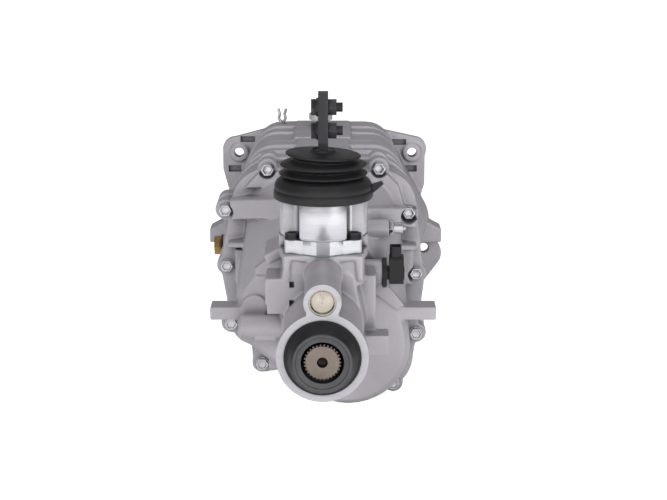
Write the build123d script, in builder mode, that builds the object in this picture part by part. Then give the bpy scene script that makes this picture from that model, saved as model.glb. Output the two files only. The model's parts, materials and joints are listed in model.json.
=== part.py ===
from build123d import *
from math import acos, atan2, cos, degrees, hypot, pi, radians, sin, sqrt, tan
import os

os.makedirs("parts", exist_ok=True)

# A five-speed rear-drive manual gearbox. Millimetres.
# The origin is the centre of the engine face on the shaft axis: +Y points to the engine,
# the tail lies towards -Y, +X is the right-hand side seen from the tail and +Z is up.
# A station is a distance behind the engine face, so a piece at station s lies at y = -s.
# Places across the box are written (x, z).

# Castings along the shaft axis
BELL_LENGTH = 150.0
BELL_FLANGE = 12.0
BELL_REAR_WALL = 12.0
BELL_WALL = 7.0
CASE_FRONT_WALL = 16.0
CASE_WALL = 8.0
CASE_FLANGE = 14.0
FLANGE_RIM = 8.0
PLATE_THICKNESS = 20.0
EXTENSION_FLANGE = 18.0
CHAMBER_REAR_WALL = 10.0
NECK_LENGTH = 117.0
TAIL_LENGTH = 110.0

# Corner circles of the castings' outlines, anticlockwise from the lower right: x, z, radius
CASE_OUTLINE = [
    (62.0, -92.0, 38.0),
    (76.0, 0.0, 36.0),
    (60.0, 98.0, 36.0),
    (-62.0, 98.0, 36.0),
    (-84.0, 0.0, 36.0),
    (-68.0, -70.0, 34.0),
]
BELL_OUTLINE = [
    (45.0, -55.0, 74.0),
    (100.0, 0.0, 44.0),
    (56.0, 101.0, 34.0),
    (-60.0, 101.0, 34.0),
    (-100.0, 0.0, 44.0),
    (-45.0, -55.0, 74.0),
]
CHAMBER_OUTLINE = [
    (26.0, -58.0, 74.0),
    (58.0, -6.0, 36.0),
    (30.0, 62.0, 30.0),
    (-30.0, 62.0, 30.0),
    (-72.0, 0.0, 29.0),
    (-72.0, -34.0, 29.0),
]

# Gear train
MODULE = 2.5
PRESSURE_ANGLE = 20.0
ADDENDUM = 0.8
DEDENDUM = 1.08
BACKLASH = 0.4
CENTRE_DISTANCE = 70.0
COUNTER_ANGLE = 22.0
GEAR_WIDTH = 17.0
FACE_GAP = 3.0
GEAR_GAP = 2.0
SYNCHRO_ZONE = 28.0
PLATE_GAP = 15.0
REVERSE_GAP = 4.0
REVERSE_WIDTH = 16.0
INPUT_TEETH = 23
COUNTER_INPUT_TEETH = 33
THIRD_TEETH = 28
COUNTER_THIRD_TEETH = 28
SECOND_TEETH = 35
COUNTER_SECOND_TEETH = 21
FIRST_TEETH = 42
COUNTER_FIRST_TEETH = 14
FIFTH_TEETH = 21
COUNTER_FIFTH_TEETH = 35
REVERSE_TEETH = 36
IDLER_TEETH = 18
COUNTER_REVERSE_TEETH = 13

# Running and seating clearances, on the radius
RUN = 0.05
SEAT = 0.02
SHIFT_CLEARANCE = 0.3

# Shaft radii
INPUT_PILOT_R = 7.5
INPUT_SPLINE_R = 12.5
INPUT_SHANK_R = 14.0
INPUT_SEAT_R = 15.0
MAIN_NOSE_R = 10.0
MAIN_HUB34_R = 18.0
MAIN_THIRD_R = 20.0
MAIN_COLLAR_R = 29.0
MAIN_SECOND_R = 25.0
MAIN_HUB12_R = 24.0
MAIN_FIRST_R = 23.0
MAIN_SEAT_R = 22.0
MAIN_REVERSE_R = 21.0
MAIN_HUB5R_R = 20.5
MAIN_FIFTH_R = 20.0
MAIN_TAIL_R = 19.0
OUTPUT_SPLINE_R = 18.5
OUTPUT_SPLINE_LENGTH = 94.0
OUTPUT_SPLINES = 30
OUTPUT_PROUD = 15.0
OUTPUT_CENTRE_R = 5.5
INPUT_SPLINE_LENGTH = 62.0
INPUT_SPLINES = 20
SPLINE_DEPTH = 1.7
COUNTER_CORE_R = 14.0
COUNTER_SEAT_R = 12.5
COUNTER_SPLINE_R = 10.0
COUNTER_HUB_R = 12.5
COUNTER_NUT = 8.0
IDLER_SHAFT_R = 8.0

# Bearings
INPUT_BEARING_R = 31.0
MAIN_BEARING_R = 36.0
COUNTER_BEARING_R = 26.0
BEARING_WIDTH = 16.0
RACE_WALL = 4.5
BALLS = 8

# Synchronizers and shift forks
HUB_R = 30.0
HUB_WIDTH = 12.0
SLEEVE_R = 40.0
SLEEVE_WIDTH = 12.0
SLEEVE_GROOVE_R = 36.0
SLEEVE_GROOVE_WIDTH = 8.0
SHIFT_TRAVEL = 7.0
DOG_WIDTH = 3.0
CONE_R = 25.5
RING_WIDTH = 4.0
RAIL_R = 7.0
RAIL_SPACING = 26.0
RAIL_HEIGHT = 92.0
RAIL_BOSS = 17.5
FORK_OUTER_R = 46.0
FORK_HUB_R = 12.0
FORK_HUB_LENGTH = 16.0

# Control shaft and lever
CONTROL_R = 8.0
CONTROL_HEIGHT = 57.0
FINGER_WIDTH = 5.4
FINGER_LENGTH = 8.0
JAW_PITCH = 6.5
JAW_WIDTH = 6.0
JAW_LENGTH = 15.0
TURRET_BEHIND = 72.0
CUP_RADIUS = 15.0
LEVER_ARM = 45.0
LEVER_BALL_R = 12.0
CUP_BALL_R = 6.0
CUP_CLEARANCE = 0.5
CUP_HALF = 11.0
LEVER_THICKNESS = 10.7
LEVER_WIDTH = 22.0
LEVER_TOP = 128.0
LEVER_EYES = (87.0, 112.0)
EYE_BOLT_R = 5.0

# Turret, lever retainer and boot
PEDESTAL_HEIGHT = 78.0
PEDESTAL_HALF = 44.0
RETAINER_R = 48.0
RETAINER_FLANGE = 15.0
RETAINER_HEIGHT = 58.0
RETAINER_BORE_R = 30.0
RETAINER_BOLT = 33.0
RETAINER_POCKET_R = 11.5
BOOT_R = 53.0
BOOT_WALL = 2.5
BOOT_OVERLAP = 6.0

# Tail
TAIL_R = 42.0
TAIL_RING_R = 46.5
TAIL_RING_LENGTH = 16.0
TAIL_BORE_R = 26.0
SEAL_R = 39.0
SEAL_LIP_R = 22.6
SEAL_DEPTH = 16.0
SEAL_PROUD = 19.0
BUSH_LENGTH = 30.0
BUSH_WALL = 3.6
WELCH_R = 14.0
WELCH_BOSS_R = 19.0

# Fasteners
CASE_BOLT_R = 4.0
CASE_BOLT_THREAD = 12.0
CASE_BOSS_R = 12.0
CASE_BOLTS = [
    (-65.7, 135.5),
    (63.8, 136.7),
    (-115.3, 87.3),
    (98.9, 84.0),
    (-114.6, 20.3),
    (108.3, 10.9),
    (-110.6, -50.7),
    (109.3, -63.1),
    (-74.3, -100.7),
    (82.6, -125.0),
]
BELL_BOLT_R = 5.0
BELL_BOLTS = [(56.0, 84.0), (-58.0, 84.0), (84.0, -6.0), (-86.0, -6.0), (70.0, -92.0), (-52.0, -78.0)]
EAR_HOLES = [(118.8, 94.0), (-118.8, 94.0)]
SIDE_HOLES = [(137.0, -42.0), (-137.0, -42.0), (84.0, -116.0), (-84.0, -116.0)]
EAR_HOLE_R = 6.5
HOLE_CLEARANCE = 0.3
HEAD_CLEARANCE = 1.0
HEAD_POCKET = 16.0

MAIN = (0.0, 0.0)
counter_heading = radians(COUNTER_ANGLE - 90.0)
COUNTER = (CENTRE_DISTANCE * cos(counter_heading), CENTRE_DISTANCE * sin(counter_heading))

# Stations, worked out from the front of the box to the tail
case_front = BELL_LENGTH
case_inside = case_front + CASE_FRONT_WALL
input_gear = case_inside + FACE_GAP
zone34 = input_gear + GEAR_WIDTH
third_gear = zone34 + SYNCHRO_ZONE
second_gear = third_gear + GEAR_WIDTH + GEAR_GAP
zone12 = second_gear + GEAR_WIDTH
first_gear = zone12 + SYNCHRO_ZONE
plate_front = first_gear + GEAR_WIDTH + PLATE_GAP
plate_rear = plate_front + PLATE_THICKNESS
flange_rear = plate_rear + EXTENSION_FLANGE
reverse_gear = plate_rear + REVERSE_GAP
zone5r = reverse_gear + REVERSE_WIDTH
fifth_gear = zone5r + SYNCHRO_ZONE
fifth_end = fifth_gear + GEAR_WIDTH
chamber_end = fifth_end + COUNTER_NUT
chamber_rear = chamber_end + CHAMBER_REAR_WALL
chamber_length = chamber_rear - flange_rear
turret_station = chamber_rear + TURRET_BEHIND
neck_rear = chamber_rear + NECK_LENGTH
tail_face = neck_rear + TAIL_LENGTH
finger_station = flange_rear
middle34 = zone34 + SYNCHRO_ZONE / 2
middle12 = zone12 + SYNCHRO_ZONE / 2
middle5r = zone5r + SYNCHRO_ZONE / 2


def pitch_radius(teeth):
    return MODULE * teeth / 2


# The reverse idler meshes with the countershaft pinion and with the main reverse gear
idler_to_main = pitch_radius(IDLER_TEETH + REVERSE_TEETH)
idler_to_counter = pitch_radius(IDLER_TEETH + COUNTER_REVERSE_TEETH)
idler_share = (idler_to_main**2 + CENTRE_DISTANCE**2 - idler_to_counter**2) / (
    2 * idler_to_main * CENTRE_DISTANCE
)
idler_heading = counter_heading + acos(idler_share)
IDLER = (idler_to_main * cos(idler_heading), idler_to_main * sin(idler_heading))


def behind(station, line=MAIN):
    """Plane across a shaft line, facing the tail: extrusions run rearwards."""
    return Plane(origin=(line[0], -station, line[1]), x_dir=(1, 0, 0), z_dir=(0, -1, 0))


def line_axis(line):
    return Axis((line[0], 0, line[1]), (0, 1, 0))


def disc(plane, radius, hole=0.0):
    with BuildSketch(plane) as outline:
        Circle(radius)
        if hole:
            Circle(hole, mode=Mode.SUBTRACT)
    return outline.sketch


def slab(plane, width, height, corner=0.0):
    with BuildSketch(plane) as outline:
        if corner:
            RectangleRounded(width, height, corner)
        else:
            Rectangle(width, height)
    return outline.sketch


def hexagon(plane, across_flats):
    with BuildSketch(plane) as outline:
        RegularPolygon(across_flats / 2, 6, major_radius=False)
    return outline.sketch


def shape(plane, points, corner=0.0):
    with BuildSketch(plane) as outline:
        with BuildLine():
            Polyline(*points, close=True)
        make_face()
        if corner:
            fillet(outline.vertices(), corner)
    return outline.sketch


def wrap(plane, circles, grow=0.0):
    """A band drawn tight round circles, which are given anticlockwise."""
    rings = [(x, z, radius + grow) for x, z, radius in circles]
    following = rings[1:] + rings[:1]
    normals = []
    for (x, z, radius), (next_x, next_z, next_radius) in zip(rings, following):
        heading = atan2(next_z - z, next_x - x)
        span = hypot(next_x - x, next_z - z)
        normals.append(heading - acos((radius - next_radius) / span))
    with BuildSketch(plane) as outline:
        with BuildLine():
            for index, (x, z, radius) in enumerate(rings):
                first = normals[index - 1]
                turn = (normals[index] - first) % (2 * pi)
                angles = (first, first + turn / 2, first + turn)
                arc = [(x + radius * cos(a), z + radius * sin(a)) for a in angles]
                ThreePointArc(*arc)
                next_x, next_z, next_radius = following[index]
                last = normals[index]
                Line(arc[2], (next_x + next_radius * cos(last), next_z + next_radius * sin(last)))
        make_face()
    return outline.sketch


def between(first, second, share):
    """Outline part of the way from one set of corner circles to another."""
    return [
        tuple(a + (b - a) * share for a, b in zip(one, other))
        for one, other in zip(first, second)
    ]


def turned(line, steps):
    """Half profile of a turned piece: each step is its two stations and its radius."""
    corners = [(0, -steps[0][0])]
    for start, end, radius in steps:
        corners += [(radius, -start), (radius, -end)]
    corners.append((0, -steps[-1][1]))
    with BuildSketch(Plane(origin=(line[0], 0, line[1]), x_dir=(1, 0, 0), z_dir=(0, 0, 1))) as half:
        with BuildLine():
            Polyline(*corners, close=True)
        make_face()
    return half.sketch


def tooth_points(teeth, phase):
    """Outline of a spur gear with involute flanks; a tooth is centred on the phase angle."""
    pitch = pitch_radius(teeth)
    base = pitch * cos(radians(PRESSURE_ANGLE))
    tip = pitch + ADDENDUM * MODULE
    root = pitch - DEDENDUM * MODULE
    half_pitch = (pi * MODULE / 2 - BACKLASH / 2) / (2 * pitch)

    def half_angle(radius):
        alpha = acos(min(1.0, base / radius))
        start = radians(PRESSURE_ANGLE)
        return half_pitch + (tan(start) - start) - (tan(alpha) - alpha)

    flank = [(root, half_angle(max(root, base))), (pitch, half_angle(pitch)), (tip, half_angle(tip))]
    points = []
    for tooth in range(teeth):
        middle = phase + 2 * pi * tooth / teeth
        for radius, half in flank:
            points.append((radius * cos(middle - half), radius * sin(middle - half)))
        for radius, half in reversed(flank):
            points.append((radius * cos(middle + half), radius * sin(middle + half)))
    return points


def gear(station, width, teeth, phase, line=MAIN):
    extrude(shape(behind(station, line), tooth_points(teeth, phase)), amount=width)


def meshing_phase(teeth, phase, other_teeth, heading):
    """Phase that puts a space of the other gear on each tooth of this one."""
    lead = heading - phase
    return heading + pi + lead * teeth / other_teeth + pi / other_teeth


def bolt(plane, grip, radius, head=1.4):
    """Hexagon flange bolt: the plane is its seat and faces the head."""
    extrude(disc(plane.offset(-grip), radius), amount=grip)
    extrude(disc(plane, 2 * radius), amount=0.4 * radius)
    extrude(hexagon(plane.offset(0.4 * radius), 3.25 * radius), amount=head * radius)


def hex_plug(plane, grip, radius, head):
    """Hexagon-headed plug without a flange."""
    extrude(disc(plane.offset(-grip), radius), amount=grip)
    extrude(hexagon(plane, 2.4 * radius), amount=head)


def save(piece, name):
    piece.part.label = name
    export_step(piece.part, "parts/" + name + ".step")


# Bell housing: a flared shell from the case outline to the engine face, with bolt ears
flare = (BELL_LENGTH - BELL_REAR_WALL - BELL_FLANGE) / (BELL_LENGTH - BELL_FLANGE)
bell_inner_rear = between(BELL_OUTLINE, CASE_OUTLINE, flare)
EAR_CORNER = (122.0, 98.0, 17.0)
BELL_TOP = (38.0, 119.5, 16.0)
BREATHER_STATION = 60.0
BREATHER_X = -6.0
BREATHER_R = 4.0
bell_crown = BELL_TOP[1] + BELL_TOP[2]
breather_seat = Plane(
    origin=(BREATHER_X, -BREATHER_STATION, bell_crown - 2), x_dir=(1, 0, 0), z_dir=(0, 0, 1)
)
SIDE_LUG = [(125.0, 8.0), (147.0, -3.0), (160.0, -10.0), (160.0, -29.0), (125.0, -29.0)]
SIDE_LUG_LENGTH = 34.0
STARTER_EAR = [(118.0, -88.0, 17.0), (139.0, -50.0, 23.0), (118.0, -36.0, 24.0), (96.0, -70.0, 20.0)]
ear_band = [
    (60.0, 20.0, 60.0),
    EAR_CORNER,
    (BELL_TOP[0] - 8.0, BELL_TOP[1], BELL_TOP[2]),
    (-BELL_TOP[0] - 8.0, BELL_TOP[1], BELL_TOP[2]),
    (-EAR_CORNER[0], EAR_CORNER[1], EAR_CORNER[2]),
    (-60.0, 20.0, 60.0),
]
RETAINER_PLATE_R = 43.0
with BuildPart() as bell_housing:
    loft([wrap(behind(BELL_FLANGE), BELL_OUTLINE), wrap(behind(BELL_LENGTH), CASE_OUTLINE)], ruled=True)
    extrude(wrap(behind(0), BELL_OUTLINE), amount=BELL_FLANGE)
    extrude(wrap(behind(0), ear_band), amount=BELL_FLANGE)
    extrude(wrap(behind(0), STARTER_EAR), amount=BELL_FLANGE)
    for x, z in SIDE_HOLES:
        extrude(disc(behind(0, (x, z)), 2.4 * EAR_HOLE_R), amount=BELL_FLANGE)
    for side in (1, -1):
        lug = [(side * x, z) for x, z in SIDE_LUG]
        extrude(shape(behind(0), lug), amount=SIDE_LUG_LENGTH)
    loft(
        [
            wrap(behind(BELL_FLANGE), BELL_OUTLINE, -BELL_WALL),
            wrap(behind(BELL_LENGTH - BELL_REAR_WALL), bell_inner_rear, -BELL_WALL),
        ],
        ruled=True,
        mode=Mode.SUBTRACT,
    )
    extrude(wrap(behind(0), BELL_OUTLINE, -BELL_WALL), amount=BELL_FLANGE, mode=Mode.SUBTRACT)
    opening = behind(BELL_LENGTH - BELL_REAR_WALL)
    extrude(disc(opening, RETAINER_PLATE_R + HOLE_CLEARANCE), amount=BELL_REAR_WALL, mode=Mode.SUBTRACT)
    extrude(disc(breather_seat, BREATHER_R + SEAT), amount=-2 * BELL_WALL, mode=Mode.SUBTRACT)
    extrude(disc(breather_seat, BREATHER_R + SEAT), amount=2 * BELL_WALL, mode=Mode.SUBTRACT)
    for place in EAR_HOLES + SIDE_HOLES:
        extrude(disc(behind(0, place), EAR_HOLE_R), amount=BELL_FLANGE, mode=Mode.SUBTRACT)
    for place in BELL_BOLTS:
        hole = disc(behind(BELL_LENGTH - BELL_REAR_WALL, place), BELL_BOLT_R + HOLE_CLEARANCE)
        extrude(hole, amount=BELL_REAR_WALL, mode=Mode.SUBTRACT)
save(bell_housing, "bell_housing")

# Screws of the front bearing retainer, on a ring round the input bearing
SCREW_R = 3.0
SCREW_RING_R = 37.0
SCREW_DEPTH = 12.0


def retainer_screws(station, radius):
    with BuildSketch(behind(station)) as holes:
        with PolarLocations(SCREW_RING_R, 4, start_angle=45):
            Circle(radius)
    return holes.sketch


# Gear case: a closed front wall with the bearing bores, ribs outside and a bolt flange behind
RAILS = {"12": (-RAIL_SPACING, RAIL_HEIGHT), "34": (0.0, RAIL_HEIGHT), "5r": (RAIL_SPACING, RAIL_HEIGHT)}
rail_front = case_inside - 5.0
RAIL_BORE_DEPTH = CASE_FRONT_WALL - 3.0
PLUG_HEIGHT = 12.0
PLUG_STATION = case_front + 65.0
PLUG_BOSS_R = 14.0
PLUG_R = 9.0
PLUG_FACE = 128.0
DRAIN_PLACE = (CASE_OUTLINE[0][0], -136.0)
CASE_RIB = 6.0
CASE_RIBS = (case_front + 46.0, case_front + 84.0, case_front + 122.0)
plug_face = Plane(origin=(-PLUG_FACE, -PLUG_STATION, PLUG_HEIGHT), x_dir=(0, 1, 0), z_dir=(-1, 0, 0))
drain_face = Plane(
    origin=(DRAIN_PLACE[0], -PLUG_STATION, DRAIN_PLACE[1]), x_dir=(1, 0, 0), z_dir=(0, 0, -1)
)
case_length = plate_front - case_front
with BuildPart() as gear_case:
    extrude(wrap(behind(case_front), CASE_OUTLINE), amount=case_length)
    extrude(wrap(behind(plate_front - CASE_FLANGE), CASE_OUTLINE, FLANGE_RIM), amount=CASE_FLANGE)
    for station in CASE_RIBS:
        extrude(wrap(behind(station), CASE_OUTLINE, FLANGE_RIM / 2), amount=CASE_RIB)
    for place in CASE_BOLTS:
        extrude(disc(behind(plate_front - 1.6 * CASE_FLANGE, place), CASE_BOSS_R), amount=1.6 * CASE_FLANGE)
    extrude(disc(plug_face, PLUG_BOSS_R), amount=-3 * CASE_WALL)
    extrude(disc(drain_face, PLUG_BOSS_R), amount=-2 * CASE_WALL)
    extrude(
        wrap(behind(case_inside), CASE_OUTLINE, -CASE_WALL),
        amount=plate_front - case_inside,
        mode=Mode.SUBTRACT,
    )
    for x, z in RAILS.values():
        extrude(disc(behind(case_inside, (x, z)), FORK_HUB_R), amount=RAIL_BOSS)
        bore = disc(behind(case_inside - RAIL_BORE_DEPTH, (x, z)), RAIL_R + RUN)
        extrude(bore, amount=RAIL_BORE_DEPTH + RAIL_BOSS, mode=Mode.SUBTRACT)
    extrude(disc(behind(case_front), INPUT_BEARING_R + SEAT), amount=CASE_FRONT_WALL, mode=Mode.SUBTRACT)
    counter_bore = disc(behind(case_front, COUNTER), COUNTER_BEARING_R + SEAT)
    extrude(counter_bore, amount=CASE_FRONT_WALL, mode=Mode.SUBTRACT)
    extrude(retainer_screws(case_front, SCREW_R + RUN), amount=SCREW_DEPTH, mode=Mode.SUBTRACT)
    for place in BELL_BOLTS:
        hole = disc(behind(case_front, place), BELL_BOLT_R + RUN)
        extrude(hole, amount=CASE_FRONT_WALL - FACE_GAP, mode=Mode.SUBTRACT)
    for place in CASE_BOLTS:
        hole = disc(behind(plate_front - CASE_BOLT_THREAD - 1, place), CASE_BOLT_R + RUN)
        extrude(hole, amount=CASE_BOLT_THREAD + 1, mode=Mode.SUBTRACT)
    extrude(disc(plug_face, PLUG_R + RUN), amount=-4 * CASE_WALL, mode=Mode.SUBTRACT)
    extrude(disc(drain_face, PLUG_R + RUN), amount=-3 * CASE_WALL, mode=Mode.SUBTRACT)
save(gear_case, "gear_case")

# Detents: a ball, spring and plug above each rail, in the bearing plate
DETENT_BALL_R = 4.0
DETENT_PLUG_R = 5.0
DETENT_SPRING = 36.0
DETENT_PLUG_LENGTH = 9.0
DETENT_DEPTH = 70.0
detent_station = plate_front + PLATE_THICKNESS / 2


def detent_plane(x, z):
    return Plane(origin=(x, -detent_station, z), x_dir=(1, 0, 0), z_dir=(0, 0, 1))


# Bearing plate between the case and the extension, carrying the rear bearings and the rails
counter_plate_r = COUNTER_BEARING_R
bearing_lip = PLATE_THICKNESS - BEARING_WIDTH - 2.0
IDLER_SOCKET = 14.0
with BuildPart() as bearing_plate:
    extrude(wrap(behind(plate_front), CASE_OUTLINE, FLANGE_RIM), amount=PLATE_THICKNESS)
    for place in CASE_BOLTS:
        extrude(disc(behind(plate_front, place), CASE_BOSS_R), amount=PLATE_THICKNESS)
    for line, radius in ((MAIN, MAIN_BEARING_R), (COUNTER, counter_plate_r)):
        seat = disc(behind(plate_front, line), radius + SEAT)
        extrude(seat, amount=PLATE_THICKNESS - bearing_lip, mode=Mode.SUBTRACT)
        lip = disc(behind(plate_front, line), radius - RACE_WALL + 1)
        extrude(lip, amount=PLATE_THICKNESS, mode=Mode.SUBTRACT)
    for place in RAILS.values():
        extrude(disc(behind(plate_front, place), RAIL_R + RUN), amount=PLATE_THICKNESS, mode=Mode.SUBTRACT)
    socket = disc(behind(plate_rear - IDLER_SOCKET, IDLER), IDLER_SHAFT_R + SEAT)
    extrude(socket, amount=IDLER_SOCKET, mode=Mode.SUBTRACT)
    for x, z in RAILS.values():
        extrude(disc(detent_plane(x, z), DETENT_BALL_R + RUN), amount=DETENT_DEPTH, mode=Mode.SUBTRACT)
        plug_hole = disc(detent_plane(x, z + DETENT_SPRING), DETENT_PLUG_R + RUN)
        extrude(plug_hole, amount=DETENT_DEPTH, mode=Mode.SUBTRACT)
    for place in CASE_BOLTS:
        hole = disc(behind(plate_front, place), CASE_BOLT_R + HOLE_CLEARANCE)
        extrude(hole, amount=PLATE_THICKNESS, mode=Mode.SUBTRACT)
save(bearing_plate, "bearing_plate")

# Extension housing: flange, ribbed chamber round the fifth and reverse gears, a neck with the
# lever turret on top, and the tail tube with the keyhole ring round seal and control bore
CHAMBER_FRONT = [(x, z, radius) for x, z, radius in CASE_OUTLINE]
CHAMBER_BEVEL = 7.0
chamber_edge = chamber_rear - CHAMBER_BEVEL
chamber_edge_line = between(CHAMBER_FRONT, CHAMBER_OUTLINE, (chamber_edge - flange_rear) / chamber_length)
chamber_share = (chamber_end - flange_rear) / chamber_length
NECK_OUTLINE = [(0.0, 0.0, 52.0), (24.0, 48.0, 18.0), (-24.0, 48.0, 18.0)]
NECK_REAR = [(0.0, 0.0, 44.0), (20.0, 46.0, 14.0), (-20.0, 46.0, 14.0)]
TUNNEL_R = 23.0
CONTROL_BEARING = 12.0
control_line = (0.0, CONTROL_HEIGHT)
cup_front = turret_station - CUP_HALF - SHIFT_TRAVEL - 8.0
cup_rear = turret_station + CUP_HALF + SHIFT_TRAVEL + 8.0
WELCH_DEPTH = 6.0
SENSOR_STATION = chamber_rear + 21.0
SENSOR_HEIGHT = 34.0
SENSOR_FACE = 66.0
SENSOR_BOSS_R = 15.0
SENSOR_BORE_R = 11.0
sensor_face = Plane(origin=(SENSOR_FACE, -SENSOR_STATION, SENSOR_HEIGHT), x_dir=(0, 1, 0), z_dir=(1, 0, 0))
SWITCH_PLACE = (74.0, 78.0)
SWITCH_STATION = chamber_rear - 11.0
SWITCH_R = 6.5
switch_face = Plane(
    origin=(SWITCH_PLACE[0], -SWITCH_STATION, SWITCH_PLACE[1]), x_dir=(0, 1, 0), z_dir=(1, 0, 0)
)
MOUNT_LUGS = {1: (90.0, 129.0, -11.0, -30.0), -1: (90.0, 131.0, -12.0, -29.5)}
LUG_LENGTH = 30.0
lug_front = chamber_rear - LUG_LENGTH
PAD_STATION = tail_face - 80.0
PAD_HEIGHT = -52.0
PAD_WIDTH = 60.0
PAD_LENGTH = 54.0
PAD_SPACING_X = 40.0
PAD_SPACING_Y = 34.0
PAD_HOLE_R = 4.0
PAD_HOLE_DEPTH = 14.0
turret_top = Plane(origin=(0, -turret_station, PEDESTAL_HEIGHT), x_dir=(1, 0, 0), z_dir=(0, 0, 1))
pad_face = Plane(origin=(0, -PAD_STATION, PAD_HEIGHT), x_dir=(1, 0, 0), z_dir=(0, 0, -1))
RIB_WIDTH = 6.0
RETAINER_THREAD = 16.0
LEFT_BLOCK_REACH = 139.0
LEFT_BLOCK_END = chamber_rear + LEFT_BLOCK_REACH
# Blocks beside the neck, each from corner to corner: x, distance behind the chamber, z
SIDE_BLOCKS = [
    ((-62.0, 69.0, 24.0), (-22.0, LEFT_BLOCK_REACH, 60.0)),
    ((30.0, 43.0, -25.0), (57.0, 87.0, 48.0)),
    ((30.0, 79.0, -37.0), (71.0, 107.0, -14.0)),
    ((-78.0, -9.0, -78.0), (-53.0, 27.0, -40.0)),
]
TAPPED_SLOTS = [(-32.4, 54.0), (-32.4, 33.0)]
CROSS_BOSS = (-97.0, -33.0)
CROSS_BOSS_STATION = chamber_rear + 17.0
CROSS_BOSS_R = 11.0
ROUND_BOSS = (-79.0, -12.0)
ROUND_BOSS_R = 15.0
NECK_RIBS = [
    [(-30.0, 26.0), (-78.0, 26.0), (-78.0, 34.0), (-46.0, 60.0), (-30.0, 60.0)],
    [(40.0, 30.0), (58.0, 34.0), (92.0, -10.0), (84.0, -16.0), (50.0, 10.0)],
]


def upright_box(low, high):
    """Block between two corners, each (x, station, height)."""
    middle = [(a + b) / 2 for a, b in zip(low, high)]
    spans = [abs(b - a) for a, b in zip(low, high)]
    with BuildPart(mode=Mode.PRIVATE) as block:
        with Locations((middle[0], -middle[1], middle[2])):
            Box(spans[0], spans[1], spans[2])
    return block.part


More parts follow.
